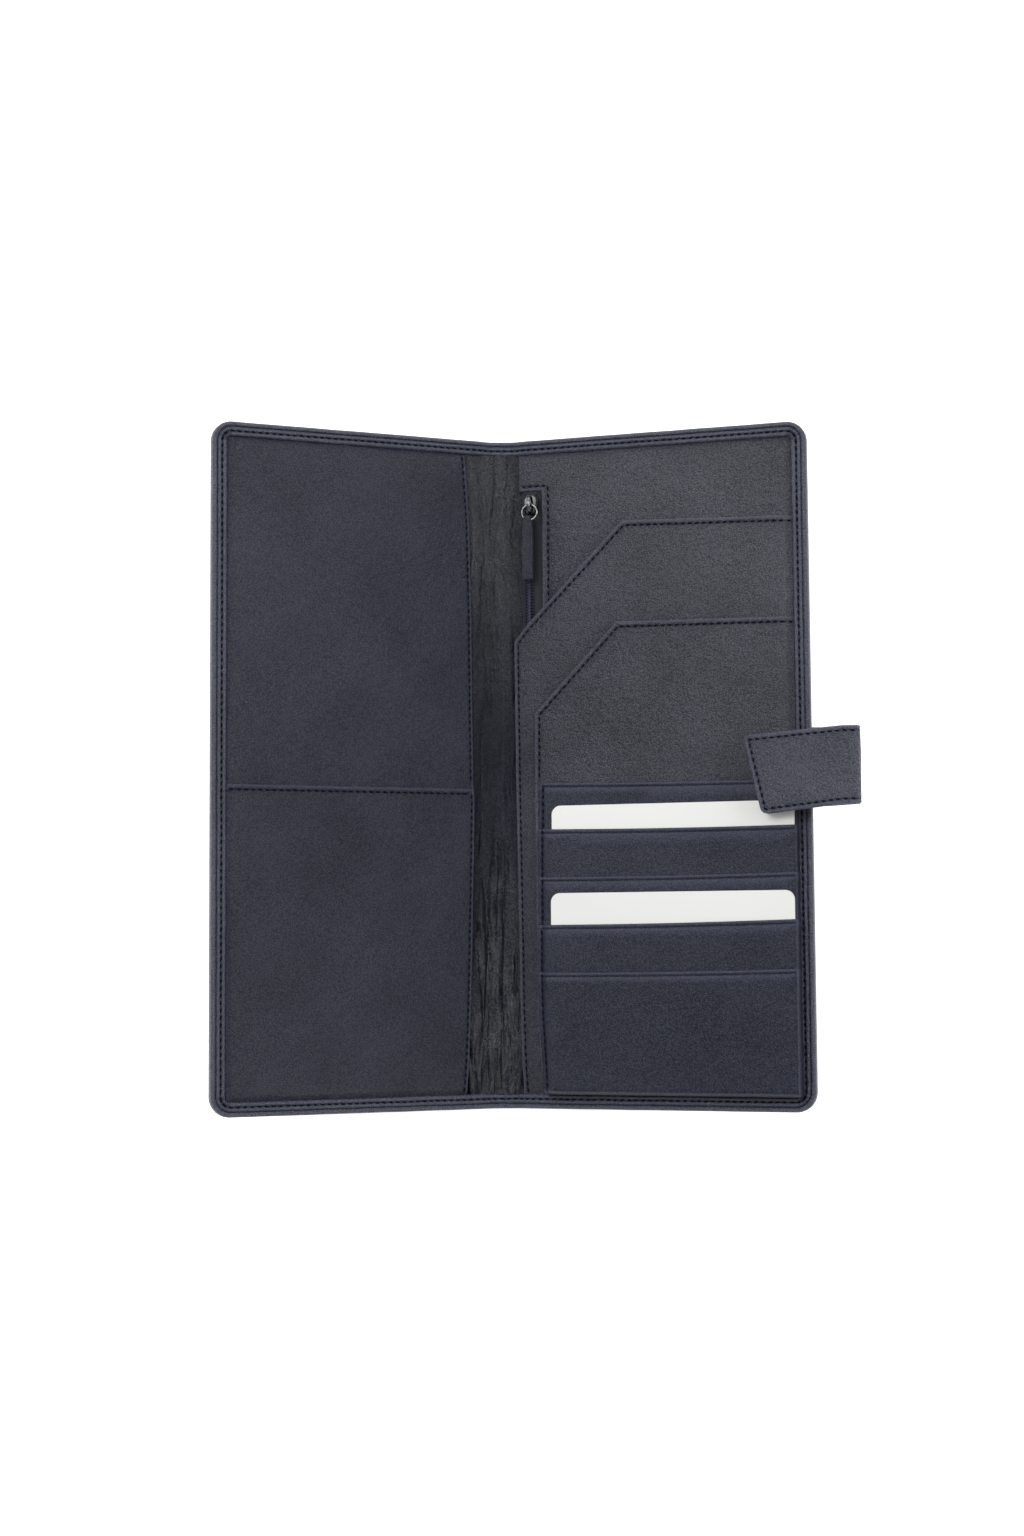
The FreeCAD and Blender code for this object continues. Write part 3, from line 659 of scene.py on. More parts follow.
def new_material(name, flat=False):
    """A material, its tree, its shader, and the coordinates of the object or of its flat panel."""
    made = bpy.data.materials.new(name)
    made.use_nodes = True
    tree = made.node_tree
    if flat:
        where = node(tree, "ShaderNodeAttribute", attribute_name="flat").outputs["Vector"]
    else:
        where = node(tree, "ShaderNodeTexCoord").outputs["Object"]
    return made, tree, tree.nodes["Principled BSDF"], where


def surface(tree, shader, base, height, strength, distance, rough):
    """Gives a shader its colour, its bumps and its roughness, each a socket or a plain value."""
    bump = node(tree, "ShaderNodeBump", {"Height": height, "Strength": strength, "Distance": distance})
    for key, value in (("Base Color", base), ("Normal", bump.outputs[0]), ("Roughness", rough)):
        if isinstance(value, bpy.types.NodeSocket):
            tree.links.new(value, shader.inputs[key])
        else:
            shader.inputs[key].default_value = value


def leather_material(name, colour, roughness=0.40, grain=1.0, cell=2100, flat=True, gloss=0.3, folded=False):
    """Satin calf leather: rounded grain cells, fine pores, soft mottling, edges lighter partly as wear; painted
    highlights on grain tops and folds, painted shade in grain creases and seams.
    """
    made, tree, shader, where = new_material(name, flat)
    warp = node(tree, "ShaderNodeTexNoise", {"Vector": where, "Scale": 700.0, "Detail": 2.0}).outputs["Color"]
    bent = node(tree, "ShaderNodeVectorMath", {0: warp, 1: (0.0006,) * 3}, operation="MULTIPLY").outputs[0]
    moved = node(tree, "ShaderNodeVectorMath", {0: where, 1: bent}, operation="ADD").outputs[0]
    cells = node(tree, "ShaderNodeTexVoronoi", {"Vector": moved, "Scale": cell, "Smoothness": 0.4},
                 feature="SMOOTH_F1").outputs["Distance"]
    creases = node(tree, "ShaderNodeTexVoronoi", {"Vector": moved, "Scale": cell},
                   feature="DISTANCE_TO_EDGE").outputs["Distance"]
    pores = clouds(tree, where, 4200.0, 3.0)
    lumps = clouds(tree, where, 1150.0, 2.0)
    pebbles = clouds(tree, where, 430.0, 1.0)
    blotch = clouds(tree, where, 46.0, 4.0, Roughness=0.55)
    cloud = clouds(tree, where, 11.0, 2.0)
    up = node(tree, "ShaderNodeSeparateXYZ", {0: where}).outputs["Y"] if folded else None

    edge = ramp(tree, creases, [(0.0, 0.0), (0.16, 1.0)])
    height = times(tree, cells, -0.7)
    for part, share in ((edge, 0.15), (lumps, 0.7), (pores, 0.2), (pebbles, 1.5)):
        height = plus(tree, height, times(tree, part, share))
    if folded:
        stretched = node(tree, "ShaderNodeVectorMath", {0: where, 1: (1.0, 0.13, 1.0)},
                         operation="MULTIPLY").outputs[0]
        folds = clouds(tree, stretched, 190.0, 3.0, Roughness=0.42, Distortion=0.4)
        ridge = maths(tree, "ABSOLUTE", maths(tree, "SUBTRACT", folds, 0.5))
        ridge = ramp(tree, ridge, [(0.0, 0.0), (0.08, 0.55), (0.24, 1.0)])
        towards_foot = rescaled(tree, up, 0.01, -0.08, 0.35)
        height = plus(tree, height, times(tree, times(tree, ridge, towards_foot), 5.5))

    tone = plus(tree, times(tree, blotch, 0.6), times(tree, cloud, 0.6))
    tone = ramp(tree, tone, [(0.40, 0.0), (0.80, 1.0)])
    base = mix_colour(tree, tone, tint(colour, 0.75), tint(colour, 1.25))
    # grain tops painted lighter as painted glints, and grain creases painted darker as painted shade
    domes = ramp(tree, cells, [(0.12, 1.0), (0.62, 0.0)])
    grain_top_glint = times(tree, domes, ramp(tree, pores, [(0.35, 0.35), (0.65, 1.0)]))
    base = mix_colour(tree, times(tree, grain_top_glint, 0.40), base, tint(colour, 2.4))
    deep = ramp(tree, edge, [(0.0, 1.0), (1.0, 0.0)])
    base = mix_colour(tree, times(tree, deep, 0.4 * min(1.0, grain)), base, tint(colour, 0.3))
    # painted light from the mesh: a painted highlight along folds and crests, painted shade in seams
    worn = node(tree, "ShaderNodeAttribute", attribute_name="worn").outputs["Fac"]
    painted_highlight = ramp(tree, worn, [(0.0, 0.0), (1.0, 0.75)])
    base = mix_colour(tree, painted_highlight, base, tint(colour, 2.4, 0.012))
    shadow = ramp(tree, times(tree, worn, -1.0), [(0.0, 0.0), (1.0, 0.38)])
    base = mix_colour(tree, shadow, base, tint(colour, 0.2))
    # convex edges painted lighter: partly wear, partly a painted highlight where folds catch the light
    edge_wear_and_highlight = node(tree, "ShaderNodeNewGeometry").outputs["Pointiness"]
    edge_wear_and_highlight = times(tree, ramp(tree, edge_wear_and_highlight, [(0.51, 0.0), (0.58, 1.0)]), 0.55)
    base = mix_colour(tree, edge_wear_and_highlight, base, tint(colour, 2.6))

    rough = plus(tree, maths(tree, "MULTIPLY_ADD", blotch, 0.16, roughness - 0.08), times(tree, deep, 0.12))
    surface(tree, shader, base, height, 0.95, 0.00022 * grain, rough)
    shine = maths(tree, "MULTIPLY_ADD", grain_top_glint, 1.9 * gloss, 0.82 * gloss)
    shine = times(tree, shine, maths(tree, "SUBTRACT", 1.0, shadow))
    shine = times(tree, shine, ramp(tree, tone, [(0.0, 0.72), (1.0, 1.0)]))
    if folded:
        shine = times(tree, shine, rescaled(tree, maths(tree, "ABSOLUTE", up), 0.015, 0.075, 0.40))
    tree.links.new(shine, shader.inputs["Specular IOR Level"])
    return made


def thread_material():
    """Twisted sewing thread, with painted shade between its plies."""
    made, tree, shader, where = new_material("sewing_thread")
    plies = node(tree, "ShaderNodeTexWave", {"Vector": where, "Scale": 900.0, "Distortion": 1.5},
                 bands_direction="DIAGONAL").outputs["Fac"]
    height = plus(tree, plies, times(tree, clouds(tree, where, 3800.0, 2.0), 0.5))
    # ply crests lighter and the grooves between plies painted darker, as painted shade
    base = mix_colour(tree, plies, (0.001, 0.0013, 0.005, 1), (0.004, 0.005, 0.015, 1))
    surface(tree, shader, base, height, 0.6, 0.00008, 0.8)
    shader.inputs["Specular IOR Level"].default_value = 0.08
    return made


def metal_material(name, colour, roughness):
    """Plated metal with fine brushed scratches and uneven polish."""
    made, tree, shader, where = new_material(name)
    stretched = node(tree, "ShaderNodeMapping", {"Vector": where, "Scale": (1.0, 0.12, 1.0)}).outputs[0]
    haze = clouds(tree, where, 700.0, 3.0)
    base = mix_colour(tree, haze, tint(colour, 0.75), tint(colour, 1.2))
    rough = maths(tree, "MULTIPLY_ADD", haze, 0.2, roughness - 0.1)
    surface(tree, shader, base, clouds(tree, stretched, 6000.0, 2.0), 0.25, 0.00004, rough)
    shader.inputs["Metallic"].default_value = 1.0
    return made


def weave_material(name, colour, pitch, roughness=0.8):
    """A plain weave: warp and weft ridges that cross."""
    made, tree, shader, where = new_material(name)
    yarns = [node(tree, "ShaderNodeTexWave", {"Vector": where, "Scale": 0.32 / pitch},
                  bands_direction=way).outputs["Fac"] for way in "YX"]
    height = plus(tree, maths(tree, "MAXIMUM", *yarns), times(tree, clouds(tree, where, 2500.0, 2.0), 0.4))
    # colour follows the yarns' height: painted highlight on the ridges, painted shade between them
    surface(tree, shader, mix_colour(tree, height, tint(colour, 0.55), tint(colour, 1.25)), height,
            0.7, 0.0001, roughness)
    shader.inputs["Sheen Weight"].default_value = 0.3
    return made


def plastic_material(name, colour, roughness, grain=900.0, depth=0.00002):
    """Moulded or printed plastic, very slightly uneven in gloss and tone."""
    made, tree, shader, where = new_material(name)
    fine = clouds(tree, where, grain, 4.0)
    base = mix_colour(tree, clouds(tree, where, 35.0, 2.0), tint(colour, 0.96), tint(colour, 1.03))
    rough = maths(tree, "MULTIPLY_ADD", fine, 0.12, roughness - 0.06)
    surface(tree, shader, base, fine, 0.3, depth, rough)
    return made


OUTER = leather_material("navy_leather_outer", (0.0205, 0.0235, 0.0420), 0.37, grain=1.6, gloss=0.64)
POCKET = leather_material("navy_leather_pockets", (0.0138, 0.0164, 0.0315), 0.37, grain=2.2, gloss=0.43)
SMOOTH = leather_material("navy_leather_slots", (0.0110, 0.0132, 0.0260), 0.36, grain=0.6, gloss=0.25)
# a lighter copy of the pocket leather: its lighter colour is painted light on the back cover's panels
BRIGHT = leather_material("navy_leather_polished", (0.0190, 0.0212, 0.0370), 0.33, grain=2.8, gloss=0.80)
LINING = leather_material("navy_leather_lining", (0.0075, 0.0090, 0.0165), 0.24, grain=2.4, cell=1900,
                          gloss=0.66, folded=True)
TAB_LEATHER = leather_material("navy_leather_puller", (0.008, 0.010, 0.019), grain=0.8, flat=False)
THREAD = thread_material()
GUNMETAL = metal_material("gunmetal_plating", (0.045, 0.045, 0.048), 0.22)
NICKEL = metal_material("dark_nickel", (0.17, 0.17, 0.175), 0.20)
TAPE = weave_material("zip_tape_weave", (0.0035, 0.004, 0.010), 0.0005)
FOAM = weave_material("padding_felt", (0.10, 0.10, 0.11), 0.0012)
BOARD = plastic_material("grey_board", (0.20, 0.19, 0.18), 0.85, 1600.0, 0.0001)
COIL = plastic_material("zip_coil_nylon", (0.018, 0.020, 0.045), 0.32)
CARD = plastic_material("card_white", (0.74, 0.745, 0.72), 0.34)
REPAINTED = {
    "front_stiffener": BOARD, "back_stiffener": BOARD, "card_upper": CARD, "card_lower": CARD,
    # the zip's end stops take the near-black tape cloth as painted shade, a dark patch standing in for the shaded gap
    # above the slider
    "snap_socket": NICKEL, "snap_socket_post": NICKEL, "snap_stud": NICKEL, "zip_end_stops": TAPE,
}


# ---------------------------------------------------------------- stitches
PITCH, STITCH_LONG, THREAD_R = 2.45, 1.60, 0.36
SLANT, ARCH, SINK = 0.13, 0.24, 0.16      # a stitch's slant, its rise, and how deep its ends go into the leather


def stitch(start, end, up, segments=6, sides=6):
    """A short arched capsule of thread between two points."""
    ax = end - start
    across = np.cross(ax, up)
    across /= np.linalg.norm(across)
    up = np.cross(across, ax)
    up /= np.linalg.norm(up)
    verts = []
    for i in range(segments + 1):
        t = i / segments
        centre = start + ax * t + up * ARCH * math.sin(math.pi * t)
        fat = THREAD_R * (0.35 + 0.65 * math.sin(math.pi * (0.06 + 0.88 * t)) ** 0.5)
        for k in range(sides):
            a = 2 * math.pi * k / sides
            verts.append(centre + across * math.cos(a) * fat + up * math.sin(a) * fat)
    return verts, caps(segments + 1, sides) + quads(segments + 1, sides, True)


def seam_stitches(line, level, way, spot, rng=None):
    """The stitches of a seam, in millimetres.

    line is the seam on the flat leather, and level gives the height there. way is 1 if up is outwards. spot turns
    flat points and heights into metres. With rng, the stitches are a little uneven.
    """
    seg = np.linalg.norm(np.diff(line, axis=0), axis=1)
    along = np.concatenate([[0], np.cumsum(seg)])
    count = max(1, int(along[-1] / PITCH))
    at = (np.arange(count) + 0.5) * along[-1] / count
    pts, ahead, behind = (np.stack([np.interp(q, along, line[:, k]) for k in (0, 1)], 1)
                          for q in (at, np.minimum(at + 0.4, along[-1]), np.maximum(at - 0.4, 0)))
    ahead = ahead - behind
    ahead /= np.maximum(np.linalg.norm(ahead, axis=1), 1e-9)[:, None]
    across = np.stack([-ahead[:, 1], ahead[:, 0]], 1)
    slant, stretch = (rng.normal(0, 0.03, count)[:, None] if rng else 0.0 for _ in range(2))
    reach = ahead * STITCH_LONG / 2 * (1 + stretch) + across * (SLANT + slant)
    height = level(pts)
    start, end = (spot(p, height - SINK * way) * 1000 for p in (pts - reach, pts + reach))
    up = (spot(pts, height + way) - spot(pts, height)) * 1000
    return [stitch(*points) for points in zip(start, end, up)]


def stitch_object(name, parts):
    verts, faces = gather(parts)
    return make_object(name, [p / 1000 for p in verts], faces, None, 80)


def sew(name, side, seams, nodes=(), blended=False):
    """One mesh of stitches. A seam is (flat line, level function, 1 or -1 for the inner or outer face)."""
    rng = np.random.default_rng(len(name))
    spot = lambda flat, level: place(side, flat[:, 0], flat[:, 1], level)
    obj = stitch_object(name, [s for seam in seams for s in seam_stitches(*seam, spot, rng)])
    finish_piece(obj, side, THREAD, "thread", nodes, blended)


# ---------------------------------------------------------------- the outer leather and its turned edge
def edge_path(side):
    """The outer edge of a cover's half, from mid-spine round to mid-spine.

    Each row holds a point, its inward direction, and the share of the turn made inside a corner or else -1.
    """
    wide, steps = WIDTH[side], 44
    rows = [(u, HALF, 0, -1, -1) for u in np.arange(-HINGE_X, wide - CORNER_R, 1.2)]
    for k in range(steps + 1):
        a = math.pi / 2 * k / steps
        s, c = math.sin(a), math.cos(a)
        rows.append((wide - CORNER_R + CORNER_R * s, HALF - CORNER_R + CORNER_R * c, -s, -c, k / steps))
    rows += [(wide, y, -1, 0, -1) for y in np.arange(HALF - CORNER_R - 1.2, 0, -1.2)]
    rows = np.array(rows)
    return np.vstack([rows, rows[::-1] * [1, -1, 1, -1, 1]])


def lip_level(u):
    """The turned edge's upper face: low across the spine, higher on the covers."""
    return 2.3 + (LIP_TOP + 0.12 - 2.3) * smooth((u + 3.5) / 6.5)


# inset from the edge, height, and whether that height is measured from n = 0 or from the turned edge's face (1)
EDGE_PROFILE = [
    (2.2, -0.6, 0), (1.4, -0.6, 0), (0.8, -0.53, 0), (0.35, -0.30, 0), (0.09, 0.08, 0), (0.0, 0.55, 0),
    (0.0, -1.25, 1), (0.06, -0.72, 1), (0.22, -0.34, 1), (0.48, -0.09, 1), (0.8, 0.02, 1), (1.15, 0.03, 1),
    (1.45, -0.04, 1), (1.66, -0.19, 1), (1.8, -0.33, 1), (1.94, -0.21, 1), (2.25, 0.0, 1), (2.75, 0.06, 1),
    (3.1, -0.06, 1), (BORDER_SEAM, -0.26, 1), (3.72, -0.08, 1), (4.0, 0.06, 1), (4.3, 0.10, 1), (4.6, 0.03, 1),
    (4.92, -0.12, 1), (5.14, -0.36, 1), (LIP_WIDTH, -0.66, 1), (5.1, -0.86, 1), (1.35, -0.9, 1), (1.25, 0.6, 0),
    (2.2, 0.6, 0),
]
EDGE_CREASE = 1.8                # the fold line between the turned edge's roll and its flat
EDGE_CRESTS = (0.9, 2.65, 4.35)  # where painted highlights lie on the turned edge's crests
PLEATS = 11                      # gathers in each corner of the turned edge


def outer_leather(side):
    """A cover's outer face, its turned edge and half of the spine's, as one skin. Returns it and its seam line."""
    path = edge_path(side)
    count, rows = len(path), len(EDGE_PROFILE)
    inward = lambda distance: path[:, :2] + path[:, 2:4] * distance
    lengths = np.concatenate([[0], np.cumsum(np.hypot(*np.diff(path[:, :2], axis=0).T))])
    ripple = waver(lengths, 3, 9.0, 5) * 0.07
    corner = path[:, 4] >= 0
    turn = np.where(corner, path[:, 4], 0)
    pleat = np.abs(np.sin(np.pi * PLEATS * (turn + waver(turn * 40, 0, 4.0, 11) * 0.035))) ** 0.6
    depth = np.where(corner, (1 - pleat) * smooth(np.minimum(turn, 1 - turn) * 14), 0)
    verts, attribute, painted_light_parts = [], [], []
    for inset, height, on_lip in EDGE_PROFILE:
        outside = not on_lip or height <= -0.5
        # painted highlights on the turned edge's crests, painted shade in its seam and its crease
        shine = sum(peak(inset, at, 0.35) for at in EDGE_CRESTS) * 0.7
        shade = peak(inset, BORDER_SEAM, 0.3) * 1.3 + peak(inset, EDGE_CREASE, 0.2) * 1.3
        painted_light_parts.append(np.full(count, (shine - shade) * (height > -0.5)))
        u, y = inward((inset + (ripple if on_lip and 0 < inset < 5 else lengths * 0))[:, None]).T
        fold = 0 if outside else depth * smooth((inset - 0.4) / 2.0) * 0.27
        wave = waver(lengths, inset * 2, 14.0, 21) * 0.05 if on_lip and inset > 0.3 else 0
        verts.append(place(side, u, y, (lip_level(u) if on_lip else 0) + height - fold + wave))
        attribute.append(np.stack([lengths, lengths * 0 + inset + height * 0.5, lengths * 0], 1) / 1000)
    faces = quads(rows, count)

    start = EDGE_PROFILE[0][0]
    down = np.arange(-HALF + start + 3.0, HALF - start - 1.0, 3.0)
    edge = np.vstack([inward(start), np.stack([down * 0 - HINGE_X, down], 1)])
    flat, tris, rim = flat_mesh(edge, (0.5, 0.75, 1.0, 1.25, 1.5, 2.3), 2.6)
    seam_line = inward(BORDER_SEAM)
    seam = to_line(flat, seam_line)
    soft = 0.07 * (1 + noise(flat, 17.0, 31)) + 0.05 * (1 + noise(flat, 6.0, 33))
    outer = -SKIN + soft * smooth((seam - 0.3) / 4) + 0.2 * peak(seam, 0, 0.45)
    total = rows * count
    for row, level in ((0, outer), (rows - 1, SKIN)):
        index = {rim[k]: row * count + k for k in range(count)}
        extra = [j for j in range(len(flat)) if j not in index]
        index.update({j: total + i for i, j in enumerate(extra)})
        total += len(extra)
        u, y = flat[extra].T
        level = np.broadcast_to(level, len(flat))[extra]
        verts.append(place(side, u, y, level))
        attribute.append(np.stack([u, y, level], 1) / 1000)
        # painted highlight beside the border seam, and painted shade in it
        painted_light_parts.append(0.5 * peak(seam[extra], 0.8, 0.5) - peak(seam[extra], 0, 0.4))
        faces += [tuple(index[i] for i in t) for t in tris]
    obj = make_object(side + "_outer_leather", np.vstack(verts), faces, np.vstack(attribute), 60,
                      np.concatenate(painted_light_parts))
    mend(obj.data, fill=True)
    CUTS[obj.name] = cut_size(inward(-(LIP_WIDTH + EDGE_WRAP)))
    return obj, seam_line


for side in SIDES:
    sheet, seam_line = outer_leather(side)
    own = (side + "_leather", side + "_edge_binding")
    shared = ("spine_outer_leather", "spine_top_binding", "spine_bottom_binding")
    finish_piece(sheet, side, OUTER, "outer_leather", own + shared, True)
    inner = lambda flat: lip_level(flat[:, 0]) - 0.22
    outer = lambda flat: flat[:, 0] * 0 - 0.42
    sew(side + "_edge_stitches", side, [(seam_line, inner, 1), (seam_line, outer, -1)],
        (side + "_edge_stitching", "spine_top_stitching", "spine_bottom_stitching"), True)


# ---------------------------------------------------------------- linings
def waver_up(y, scale, seed):
    """Noise up the spine, the same at every x."""
    return noise(np.stack([y * 0, y], 1), scale, seed)


def wrinkles(x, y):
    """Long soft folds down the spine's lining, strongest near the foot."""
    foot = smooth((-y - 25) / 70)
    x1 = x + 1.4 * waver_up(y, 37.0, 41) + 0.5 * waver_up(y, 9.0, 42)
    long = 1 - np.abs(noise(np.stack([x1, y], 1), (2.9, 34.0), 43)) * 2
    short = 1 - np.abs(noise(np.stack([x1 + 3, y], 1), (1.6, 11.0), 44)) * 2
    crumple = noise(np.stack([x, y], 1), (1.3, 2.6), 45)
    return long * (0.22 + 0.50 * foot) + short * (0.08 + 0.36 * foot) + crumple * (0.06 + 0.12 * foot)


def lining_top(side):
    def level(flat):
        u, y = flat[:, 0], flat[:, 1]
        x = SIDES[side] * (HINGE_X + u)
        base = 2.2 + 0.16 * smooth((u + 4) / 5)
        loose = smooth((9.5 - u) / 4.0) if side == "front" else smooth((1.2 - u) / 3.0)
        loose = loose * (0.35 + 0.65 * smooth((INNER_Y - np.abs(y)) / 5))
        beside_zip = smooth((x + 1.0) / 3.0) * smooth((y - 52) / 8.0)
        return base + (wrinkles(x, y) + 0.22) * loose * (1 - 0.75 * beside_zip) - 0.25 * beside_zip
    return level


for side in SIDES:
    corners = [(-HINGE_X, INNER_Y, 0), (INNER[side], INNER_Y, PANEL_R), (INNER[side], -INNER_Y, PANEL_R),
               (-HINGE_X, -INNER_Y, 0)]
    top = lining_top(side)
    creased = (0.62, (-HINGE_X, -INNER_Y), (9.8, INNER_Y))
    sheet = leather(side + "_lining_sheet", side, corners, top, lambda flat: top(flat) - 0.22, (0.4,), 5.0,
                    creased, 0.9)
    finish_piece(sheet, side, LINING, "lining_leather", (side + "_lining", "spine_lining"), True)


# ---------------------------------------------------------------- the front cover's sleeve and passport pocket
FRONT = INNER["front"]
SLEEVE_EDGE = np.array([(112.8, 7.7), (96.4, 6.6), (85.7, 5.9), (52.8, 5.3), (-2.4, 5.1), (-10, 4.9), (-62.7, 6.0),
                        (-97.4, 7.1), (-112.8, 8.2)])
SLEEVE_SEAM = 1.05                                  # from the sleeve's fold
PASSPORT_TOP, PASSPORT_SEAM = -6.4, -8.1            # the pocket's mouth and the seam below it
SLEEVE_FOLD = left_edge(SLEEVE_EDGE, INNER_Y)
PASSPORT_FOLD = left_edge(SLEEVE_EDGE, PASSPORT_TOP)


def sleeve_top(flat):
    level = tucked(flat, "front", 2.55, 3.32 + swell(flat, 0.22, 27.0, 51, 0.05, 9.0))
    return hem(level, to_line(flat, SLEEVE_FOLD), 0.42, SLEEVE_SEAM)


def passport_top(flat):
    level = tucked(flat, "front", 2.95, 4.15 + swell(flat, 0.20, 24.0, 53))
    level = hem(level, to_line(flat, PASSPORT_FOLD), 0.4, SLEEVE_SEAM)
    return hem(level, PASSPORT_TOP - flat[:, 1], 0.42, PASSPORT_TOP - PASSPORT_SEAM, 0.2)


corners = [(u, y, 0) for u, y in SLEEVE_FOLD] + [(FRONT, -INNER_Y, PANEL_R), (FRONT, INNER_Y, PANEL_R)]
pocket("boarding_sleeve_panel", "front", corners, sleeve_top, lambda flat: np.minimum(sleeve_top(flat) - 0.1, 2.43),
       POCKET, "boarding_sleeve", folds=[SLEEVE_FOLD], seams=[left_edge(SLEEVE_EDGE, INNER_Y, SLEEVE_SEAM)])

corners = [(u, y, 0) for u, y in left_edge(SLEEVE_EDGE, PASSPORT_TOP, 0.04)]
corners += [(FRONT, -INNER_Y, PANEL_R), (FRONT, PASSPORT_TOP, 0)]
pocket("passport_pocket_panel", "front", corners, passport_top,
       lambda flat: np.minimum(passport_top(flat) - 0.1, sleeve_top(flat) + 0.02), POCKET, "passport_pocket",
       folds=[PASSPORT_FOLD, np.array([(4.9, PASSPORT_TOP), (FRONT, PASSPORT_TOP)])],
       seams=[left_edge(SLEEVE_EDGE, PASSPORT_SEAM, SLEEVE_SEAM),
              np.array([(7.2, PASSPORT_SEAM), (FRONT, PASSPORT_SEAM)])])

left = left_edge(SLEEVE_EDGE, INNER_Y - 0.6, SLEEVE_SEAM, -INNER_Y + 0.6)
upper, lower = left[left[:, 1] > -5.5], left[left[:, 1] < -7.2]
mouth = np.array([(7.2, PASSPORT_SEAM), (FRONT - 0.4, PASSPORT_SEAM)])
sew("sleeve_stitches", "front", [(upper, sleeve_top, 1)], ("sleeve_stitching",))
sew("passport_pocket_stitches", "front", [(lower, passport_top, 1), (mouth, passport_top, 1)],
    ("passport_pocket_stitching",))


# ---------------------------------------------------------------- the back cover's zip panel and slanted pockets
RIGHT = INNER["back"]
WINDOW_U, WINDOW_TOP, WINDOW_FOOT = 8.7, 99.7, 33.0
PANEL_LEFT, PANEL_LEFT_LOW = -0.2, 3.0              # the zip panel's left edge above and below the window
ZIP_SEAM = np.array([(PANEL_LEFT + 0.8, 101.4), (10.9, 101.4), (10.9, 54.0)])
WINDOW = np.array([(PANEL_LEFT, WINDOW_TOP), (WINDOW_U, WINDOW_TOP), (WINDOW_U, WINDOW_FOOT)])
POCKET_SEAM = 1.75                                  # from a slanted pocket's fold, and from the strap's edge


def zip_panel_top(flat):
    level = tucked(flat, "back", 2.5, 3.02 + swell(flat, 0.12, 24.0, 61))
    window = to_line(flat, WINDOW)
    side = to_line(flat, np.array([(PANEL_LEFT, WINDOW_TOP), (PANEL_LEFT, INNER_Y)]))
    level = level + 0.22 * peak(window, 0.9, 0.8) - rounded_drop(window, 0.36) - rounded_drop(side, 0.3)
    return level - 0.24 * peak(to_line(flat, ZIP_SEAM), 0, GROOVE)


corners = [(PANEL_LEFT, INNER_Y, 0), (RIGHT, INNER_Y, PANEL_R), (RIGHT, -INNER_Y, PANEL_R),
           (PANEL_LEFT_LOW, -INNER_Y, 0), (PANEL_LEFT_LOW, WINDOW_FOOT, 0), (WINDOW_U, WINDOW_FOOT, 0),
           (WINDOW_U, WINDOW_TOP, 0.8), (PANEL_LEFT, WINDOW_TOP, 0)]
pocket("zip_panel_sheet", "back", corners, zip_panel_top, lambda flat: np.minimum(zip_panel_top(flat) - 0.1, 2.42),
       BRIGHT, "zip_panel", True, folds=[WINDOW], seams=[ZIP_SEAM])
sew("zip_panel_stitches", "back", [(ZIP_SEAM, zip_panel_top, 1)], ("zip_panel_stitching",), True)

# left edges as (y, u) from the slant's foot down, and mouths as (u, y) from the slant's foot to the right
TICKET_LEFT = np.array([(46.0, -2.8), (20, -2.6), (-3, -2.4), (-63, -1.4), (-80, -1.2), (-101, -0.5),
                        (-112.8, 0.1)])
TICKET_MOUTH = np.array([(-2.8, 46.0), (38.2, 87.0), (98.4, 85.1)])
NOTE_LEFT = np.array([(20.2, 6.0), (0, 5.8), (-40, 6.2), (-85, 6.4), (-100, 7.4), (-112.8, 8.2)])
NOTE_MOUTH = np.array([(6.0, 20.2), (35.9, 51.2), (98.4, 50.1)])


def pocket_left(table):
    return left_edge(table, table[0, 0] - 3)


def pocket_line(table, mouth):
    return np.vstack([pocket_left(table)[::-1], mouth])


def pocket_corners(table, mouth):
    left = [(u, y, 0) for u, y in pocket_left(table)]
    right = [(RIGHT, -INNER_Y, PANEL_R), (RIGHT, mouth[2, 1], 0)]
    return [(*mouth[0], 0.8)] + left + right + [(*mouth[1], 2.4)]


def pocket_top(flat, low, high, table, mouth, ridge):
    """A slanted pocket's level: thin towards the cover's foot and the right-hand edge, with a folded mouth."""
    thin = np.minimum(smooth((flat[:, 1] + INNER_Y) / 9.0), smooth(0.1 + (RIGHT - flat[:, 0]) / 3.2))
    side = to_line(flat, np.vstack([mouth[:1], pocket_left(table)]))
    edge = np.minimum(to_line(flat, mouth), side)
    return hem(low + (high - low) * thin + ridge * peak(edge, 0.8, 0.6), edge, 0.42, POCKET_SEAM)


def ticket_top(flat):
    high = 3.45 + 0.68 * smooth((flat[:, 0] + 3.0) / 7.5) + swell(flat, 0.14, 25.0, 63, 0.04)
    return pocket_top(flat, 2.85, high, TICKET_LEFT, TICKET_MOUTH, 0.12)


def note_top(flat):
    return pocket_top(flat, 3.1, 4.92 + swell(flat, 0.12, 23.0, 65, 0.04), NOTE_LEFT, NOTE_MOUTH, 0.1)


def ticket_under(flat):
    return ticket_top(flat) - 0.6 * smooth(0.35 + (flat[:, 1] + INNER_Y) / 14)


def note_under(flat):
    return np.maximum(note_top(flat) - 0.6, np.minimum(ticket_top(flat) + 0.02, note_top(flat) - 0.1))


